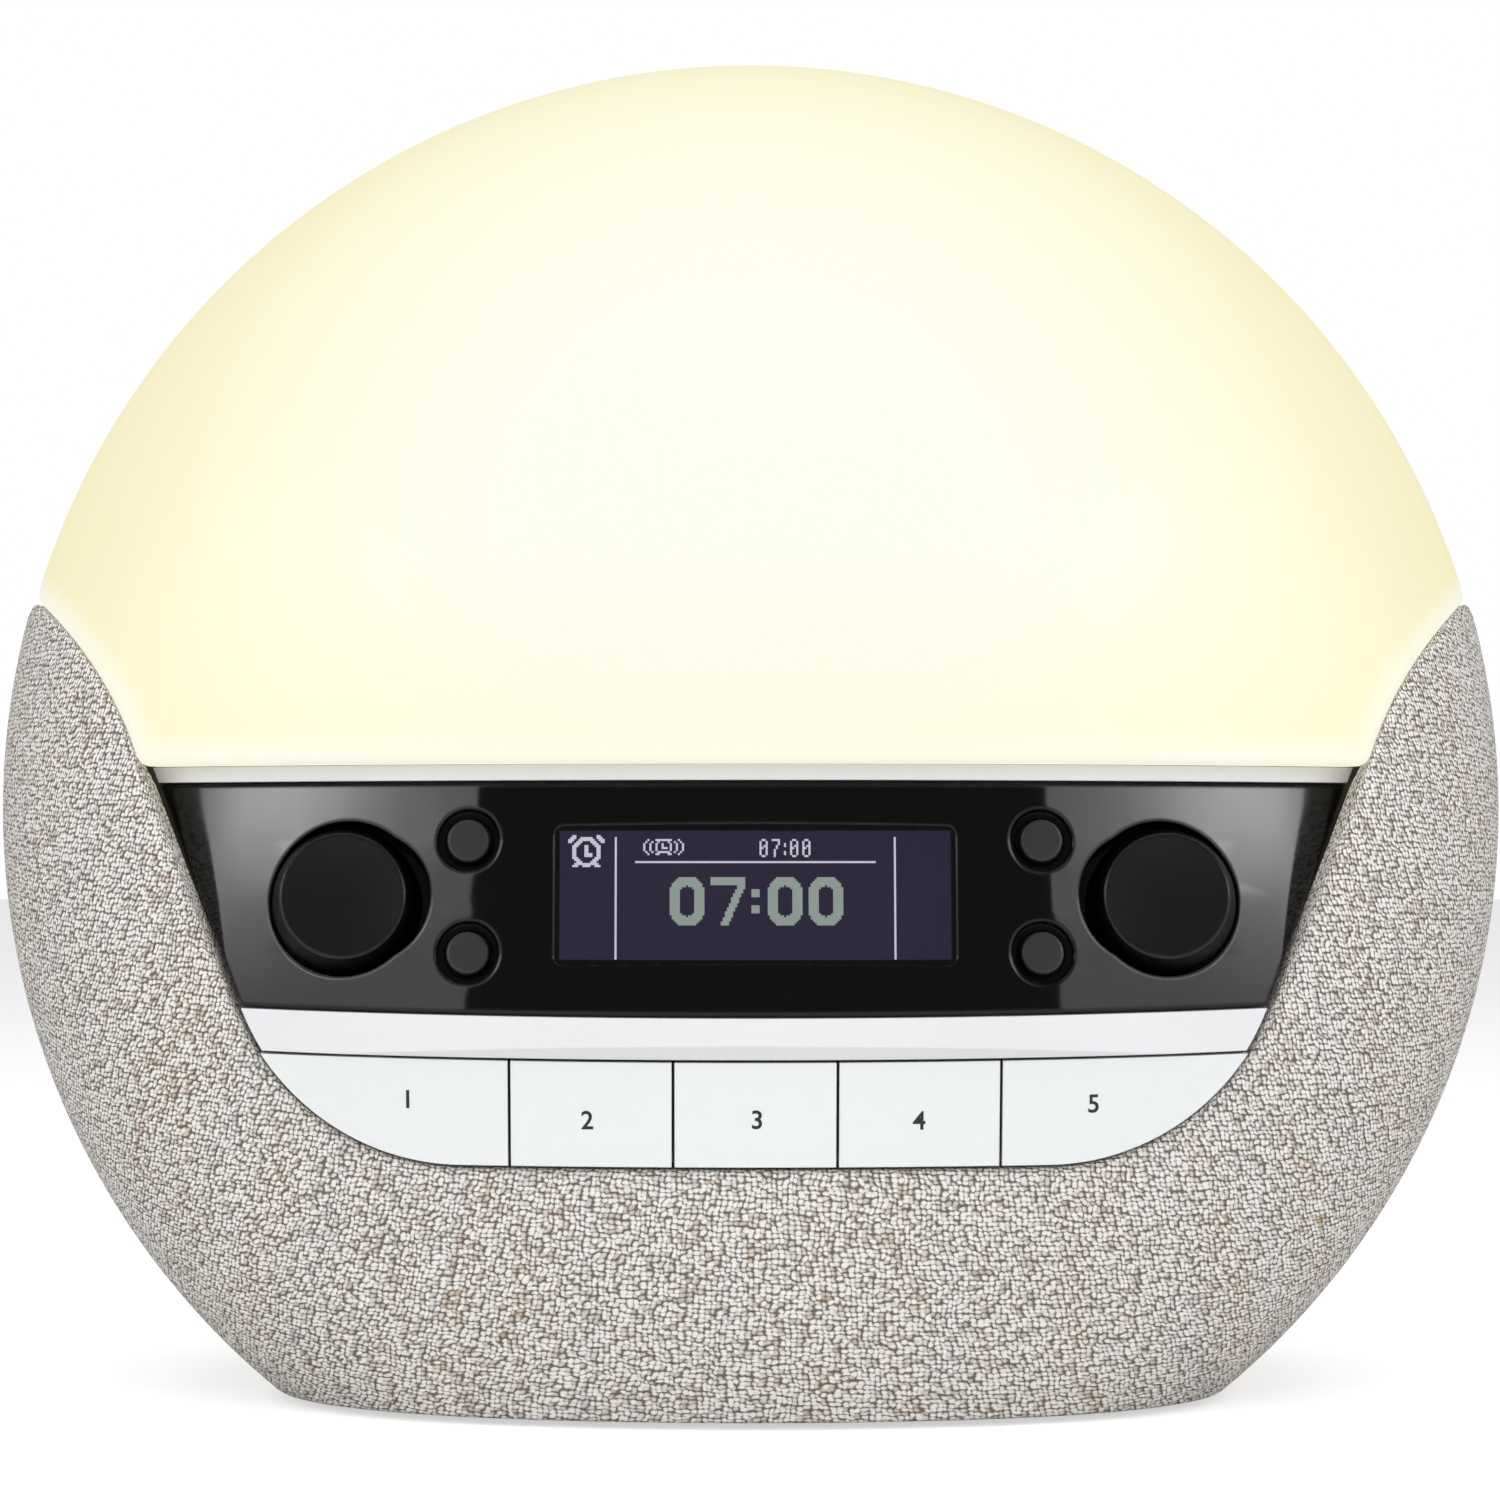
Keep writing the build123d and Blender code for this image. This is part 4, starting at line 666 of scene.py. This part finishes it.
outer_skin = Pebble(0.0)
edge = mirrored(opening_edge(0.0, wing_tip_radius, body_radius, -1))
front_edge = [outer_skin.seen(x, z) for x, z in edge]
back_edge = [outer_skin.seen(x, z, back=True) for x, z in edge[::-1]][1:-1]
mouth = turned(evenly(outer_skin, front_edge + back_edge, fabric_rim_step), True)
drop = centre_height - fabric_bottom
base_reach = sqrt(body_radius**2 - drop**2) - 1e-4
base_line = [(base_reach * sin(pi / 2 * k / 100), fabric_bottom) for k in range(-100, 101)]
base_loop = [outer_skin.seen(x, z) for x, z in base_line]
base_loop += [outer_skin.seen(x, z, back=True) for x, z in base_line[::-1]][1:-1]
base_loop = turned(evenly(outer_skin, base_loop, base_rim_step), False)


weave_span = 2 * outer_skin.nose_run + outer_skin.girdle_run


def weave_place(place):
    """Place in the weave: counted from the front nose on the front half, from the rear one on the back half."""
    run = hypot(*place)
    share = min(1.0, (weave_span - run) / run)
    return (place[0] * share, place[1] * share, 0.0)


def beside_panel(point):
    """1 next to the panel and the strips, 0 next to the dome and below the panel."""
    if point.y > 0:
        return 0.0
    above = min(1.0, max(0.0, (point.z - panel_side_low) / 8.0))
    below = min(1.0, max(0.0, (panel_side_high - point.z) / 5.0))
    return above * below


def mouth_roll(point):
    return fabric_roll + (panel_side_roll - fabric_roll) * beside_panel(point)


def mouth_flare(point):
    return panel_side_flare * beside_panel(point)


cover = Piece()
mouth_inner, mouth_ring = rolled_edge(
    cover, outer_skin, mouth, mouth_roll, fabric_turn_in, weave_place, mouth_flare)
base_inner, base_ring = rolled_edge(
    cover, outer_skin, base_loop, lambda point: base_roll, base_turn_in, weave_place)
skin_rings = cover.skin(outer_skin, [mouth_inner, base_inner], fabric_step, weave_place)
cover.band(skin_rings[0], mouth_ring)
cover.band(skin_rings[1], base_ring)
cover.make("fabric_cover_woven", fabric_look, "body", ["fabric_cover"], "weave")

# ---------------------------------------------------------------------- dome
dome_skin = Pebble(dome_step)
dome_radius = body_radius - dome_step
half = opening_edge(dome_gap, dome_rim_radius, dome_radius, 1, dome_floor, dome_corner_radius)
edge = mirrored(half)
seam_reach = girdle_centre + sqrt(dome_skin.girdle**2 - seam_depth**2)
back_half = [(x, z) for x, z in half[::-1] if hypot(x, z - centre_height) > seam_reach][1:]
top_start = direction((0, centre_height), back_half[-1])
dome_loop = [dome_skin.seen(x, z) for x, z in edge]
dome_loop += [dome_skin.seen(x, z, back=True) for x, z in back_half]
seam = arc((0, centre_height), seam_reach, top_start, pi - top_start)
dome_loop += [dome_skin.seen(x, z, back=True) for x, z in seam]
dome_loop += [dome_skin.seen(-x, z, back=True) for x, z in back_half[::-1]]
dome_loop = turned(evenly(dome_skin, dome_loop, dome_rim_step), True)


def lip_radius(point):
    return dome_back_lip + (dome_lip - dome_back_lip) * min(1.0, max(0.0, (4.0 - point.y) / 8.0))


def tuck_length(point):
    """The flange is there only at the wing tips, where the rims leave a notch between them."""
    if point.z >= wing_tip_top:
        return 0.0
    return dome_tuck * min(1.0, max(0.0, (abs(point.x) - wing_tip_start) / wing_tip_ramp))


dome = Piece()
dome_inner, dome_ring = rolled_edge(
    dome, dome_skin, dome_loop, lip_radius, dome_turn_in, lambda place: (1.0, 1.0, 1.0), tuck_at=tuck_length)
rim_ends = np.array(dome_inner)


def rim_share(place):
    """How much a place belongs to the front rim band, whose whiter glow is a painted highlight standing in for
    the light a wider rounded lip would catch.
    """
    apart = sqrt(np.min(np.sum((rim_ends - place)**2, axis=1)))
    share = min(1.0, max(0.0, 1.6 - apart / painted_rim_highlight_width))
    front = 1.0 if dome_skin.at(*place)[0].y < 0 else 0.0
    return (share * front,) * 3


dome_rings = dome.skin(dome_skin, [dome_inner], dome_step_length, rim_share)
dome.band(dome_rings[0], dome_ring)
dome.make("diffuser_dome_lit", diffuser_look, "body", ["diffuser_dome"], "rim")

# ------------------------------------------------------------ display marks
screen_columns = 192
screen_rows = 64
fascia_axis_y = fascia_front + fascia_plan_radius
lean = radians(panel_lean)
mark_lift = 0.03


def on_panel(across, rise):
    """Point just in front of the panel, from its place on the window."""
    front = fascia_front + rise * sin(lean) - mark_lift
    radius = fascia_axis_y - front
    return Vector((across, fascia_axis_y - sqrt(radius**2 - across**2), panel_bottom + rise * cos(lean)))


def screen_block(piece, column, row, columns, rows):
    """Block of display dots, counted from the window's upper left corner."""
    pitch_x = window_width / screen_columns
    pitch_z = window_height / screen_rows
    normal = Vector((0, -cos(lean), sin(lean)))
    splits = max(1, round(columns / 12))
    top = window_rise + window_height / 2 - row * pitch_z
    for part in range(splits):
        left = -window_width / 2 + (column + columns * part / splits) * pitch_x
        right = left + columns / splits * pitch_x
        corners = [on_panel(left, top), on_panel(right, top),
                   on_panel(right, top - rows * pitch_z), on_panel(left, top - rows * pitch_z)]
        piece.face(*[piece.put(corner, normal) for corner in corners])


def draw_rows(piece, column, row, pattern, scale=1):
    """Rows of dots written with # signs."""
    for line, text in enumerate(pattern):
        k = 0
        while k < len(text):
            if text[k] == "#":
                end = k
                while end < len(text) and text[end] == "#":
                    end += 1
                screen_block(piece, column + k * scale, row + line * scale, (end - k) * scale, scale)
                k = end
            else:
                k += 1


small_figures = {
    "0": [" ## ", "#  #", "#  #", "# ##", "## #", "#  #", "#  #", "#  #", " ## "],
    "7": ["####", "   #", "   #", "  # ", "  # ", " #  ", " #  ", " #  ", " #  "],
    ":": [" ", " ", "#", "#", " ", " ", "#", "#", " "]}
alarm_icon = [
    "  ##          ##  ",
    " ###  ######  ### ",
    "###  ########  ###",
    "##  ###    ###  ##",
    "   ###      ###   ",
    "  ###   ##   ###  ",
    "  ##    ##    ##  ",
    "  ##    ##    ##  ",
    "  ##    ##    ##  ",
    "  ##    ####  ##  ",
    "  ##    ####  ##  ",
    "  ###        ###  ",
    "   ###      ###   ",
    "    ###    ###    ",
    "   ############   ",
    "  ###  ####  ###  "]
ringing_icon = [
    "  #   ########   #  ",
    " #  #  #    #  #  # ",
    "#  #  #  #   #  #  #",
    "#  #  #  #   #  #  #",
    "#  #  #  ### #  #  #",
    "#  #  #      #  #  #",
    " #  #  ######  #  # ",
    "  #   ##    ##   #  "]


def round_figure(width, height, stroke):
    """Large nought as rows of dots."""
    rows = []
    for line in range(height):
        text = ""
        for k in range(width):
            x = abs(k + 0.5 - width / 2)
            y = abs(line + 0.5 - height / 2)
            outer = (x / (width / 2)) ** 3 + (y / (height / 2)) ** 3 <= 1.0
            inner = (x / (width / 2 - stroke)) ** 3 + (y / (height / 2 - stroke)) ** 3 <= 1.0
            text += "#" if outer and not inner else " "
        rows.append(text)
    return rows


def seven_figure(width, height, stroke):
    rows = ["#" * width] * stroke
    for line in range(stroke, height):
        middle = width - stroke / 2 - (width * 0.5) * (line - stroke) / (height - stroke)
        start = round(middle - stroke / 2)
        rows.append(" " * start + "#" * stroke)
    return rows


marks = Piece()
screen_block(marks, 27, 3, 1, 61)
screen_block(marks, 164, 3, 1, 61)
screen_block(marks, 37, 15, 118, 1)
draw_rows(marks, 4, 2, alarm_icon)
draw_rows(marks, 41, 4, ringing_icon)
for column, figure in zip((98, 104, 110, 113, 119), "07:00"):
    draw_rows(marks, column, 4, small_figures[figure])
marks.make("display_marks", mark_look, "body")

time_marks = Piece()
for column in (54, 102, 122):
    draw_rows(time_marks, column, 23, round_figure(17, 24, 4.5))
draw_rows(time_marks, 74, 23, seven_figure(17, 24, 4))
for row in (29, 37):
    screen_block(time_marks, 94, row, 4, 4)
time_marks.make("display_time", time_look, "body")

# ------------------------------------------------------------ key numbers
key_slope = (key_face_bottom - key_face_top) / (key_top - opening_floor)
key_axis_y = fascia_front + key_plan_radius
number_places = {1: (-47.9, 47.5), 2: (-23.0, 44.9), 3: (0.2, 45.05), 4: (22.4, 44.85), 5: (46.7, 46.9)}
number_height = 2.55


def on_key(x, z):
    radius = key_axis_y - (key_face_top + (key_top - z) * key_slope) + mark_lift
    return Vector((x, key_axis_y - sqrt(radius**2 - x**2), z))


for number, (middle_x, middle_z) in number_places.items():
    curve = bpy.data.curves.new(f"number_{number}", "FONT")
    curve.body = str(number)
    curve.align_x, curve.align_y = "CENTER", "CENTER"
    curve.size = number_height * 1.40
    curve.offset = 0.05
    drawn = bpy.data.objects.new(f"number_{number}_outline", curve)
    mesh = bpy.data.meshes.new_from_object(drawn)
    bpy.data.objects.remove(drawn)
    width = max(v.co.x for v in mesh.vertices) + min(v.co.x for v in mesh.vertices)
    for vertex in mesh.vertices:
        vertex.co = on_key(middle_x + vertex.co.x - width / 2, middle_z + vertex.co.y) * MM
    mesh.materials.clear()
    mesh.materials.append(digit_look)
    printed_number = bpy.data.objects.new(f"printed_number_{number}", mesh)
    bpy.context.scene.collection.objects.link(printed_number)
    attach(printed_number, f"key_{number}")

# --------------------------------------------------------------------- stage
scene = bpy.context.scene


def flat_sheet(name, corners, look):
    mesh = bpy.data.meshes.new(name)
    mesh.from_pydata(corners, [], [(0, 1, 2, 3)])
    mesh.materials.append(look)
    made = bpy.data.objects.new(name, mesh)
    scene.collection.objects.link(made)
    return made


floor_finish = Finish("pale_floor")
seen_directly = floor_finish.node("LightPath", output="Is Camera Ray")
floor_finish.surface({
    "Base Color": (0.86, 0.86, 0.86, 1.0), "Roughness": 0.9, "Specular IOR Level": 0.0,
    "Emission Color": floor_finish.tint(seen_directly, (0.0, 0.0, 0.0, 1.0), (1.0, 1.0, 1.0, 1.0)),
    "Emission Strength": 0.55})
reach = 6.0
flat_sheet("floor", [(-reach, -reach, 0), (reach, -reach, 0), (reach, reach, 0), (-reach, reach, 0)],
           floor_finish.material)

world = bpy.data.worlds.new("studio")
scene.world = world
world.use_nodes = True
sky = world.node_tree
background = sky.nodes["Background"]
background.inputs["Color"].default_value = (1.0, 1.0, 1.0, 1.0)
rays = sky.nodes.new("ShaderNodeLightPath")
mirrored_light = sky.nodes.new("ShaderNodeMapRange")
mirrored_light.inputs["To Min"].default_value = 0.30
mirrored_light.inputs["To Max"].default_value = 0.09
sky.links.new(rays.outputs["Is Glossy Ray"], mirrored_light.inputs["Value"])
strength = sky.nodes.new("ShaderNodeMapRange")
strength.inputs["To Max"].default_value = 1.0
sky.links.new(mirrored_light.outputs["Result"], strength.inputs["To Min"])
sky.links.new(rays.outputs["Is Camera Ray"], strength.inputs["Value"])
sky.links.new(strength.outputs["Result"], background.inputs["Strength"])


def soft_box(name, place, target, width, height, power):
    data = bpy.data.lights.new(name, "AREA")
    data.shape = "RECTANGLE"
    data.size, data.size_y = width, height
    data.energy = power
    lamp = bpy.data.objects.new(name, data)
    lamp.location = place
    lamp.rotation_mode = "QUATERNION"
    lamp.rotation_quaternion = (Vector(target) - Vector(place)).to_track_quat("-Z", "Y")
    lamp.visible_camera = False
    lamp.visible_glossy = False
    scene.collection.objects.link(lamp)


for side, hand in (("left", -1), ("right", 1)):
    soft_box(f"{side}_softbox", (hand * 0.95, -0.75, 0.38), (0, 0, 0.08), 0.75, 0.75, 4.7)
soft_box("top_softbox", (0, -0.35, 1.3), (0, 0, 0.05), 1.4, 1.0, 7.6)
soft_box("front_fill", (0, -1.6, 0.6), (0, 0, 0.08), 1.2, 0.8, 4.3)


card_distance = 1.5
card_base = 0.17                # dimmest part of a card, against its brightest
card_strength = 8.4


def ghost(sheet):
    """Only reflections see the sheet."""
    sheet.visible_camera = False
    sheet.visible_diffuse = False
    sheet.visible_shadow = False


def glowing_card(name, azimuth, hand, foot):
    """Upright card that only reflections see: brightest past its middle and towards its top."""
    finish = Finish(name)
    across, height = (finish.node("SeparateXYZ", {}, {0: finish.place()}, axis) for axis in ("X", "Z"))
    along = finish.node("ValToRGB", {"stops": [
        (place, (glow, glow, glow, 1.0)) for place, glow in (
            (0.0, 0.09), (0.12, 0.15), (0.24, 0.28), (0.35, 0.51), (0.42, 0.74), (0.53, 0.95),
            (0.60, 0.99), (0.68, 0.89), (0.77, 0.50), (0.81, 0.30), (0.90, 0.15), (1.0, 0.0))]},
        {"Fac": (across + 0.56) / 1.24})
    upward = finish.node("ValToRGB", {"stops": [
        (place, (glow, glow, glow, 1.0)) for place, glow in (
            (0.0, 0.0), (0.30, 0.10), (0.46, 0.20), (0.58, 0.34), (0.70, 0.60), (0.85, 0.88), (1.0, 1.0))]},
        {"Fac": (height + across * 0.09 - foot) / 0.11})
    level = along * upward * (1 - card_base) + card_base
    glow = finish.node("CombineColor", {}, {"Red": level, "Green": level, "Blue": level * 1.03})
    finish.surface({
        "Base Color": (0.0, 0.0, 0.0, 1.0), "Specular IOR Level": 0.0,
        "Emission Color": glow, "Emission Strength": card_strength})
    corners = [(-0.51, 0.0, 0.16), (0.70, 0.0, 0.16), (0.70, 0.0, 0.80), (-0.55, 0.0, 0.80)]
    card = flat_sheet(name, corners, finish.material)
    turn = radians(azimuth)
    card.location = (hand * card_distance * sin(turn), -card_distance * cos(turn), 0.0)
    card.rotation_euler = (0.0, 0.0, pi - turn if hand < 0 else turn)
    ghost(card)


glowing_card("left_card", 52.0, -1, 0.36)
glowing_card("right_card", 55.5, 1, 0.345)

camera_data = bpy.data.cameras.new("camera")
camera_data.sensor_width = 36.0
camera_data.lens = 95.05
camera_data.shift_x = 0.033
camera_data.shift_y = 0.0667
camera = bpy.data.objects.new("camera", camera_data)
camera.location = (-0.0075, -0.600, 0.082)
camera.rotation_euler = (pi / 2, 0.0, 0.0)
scene.collection.objects.link(camera)
scene.camera = camera
scene.view_settings.view_transform = "Standard"
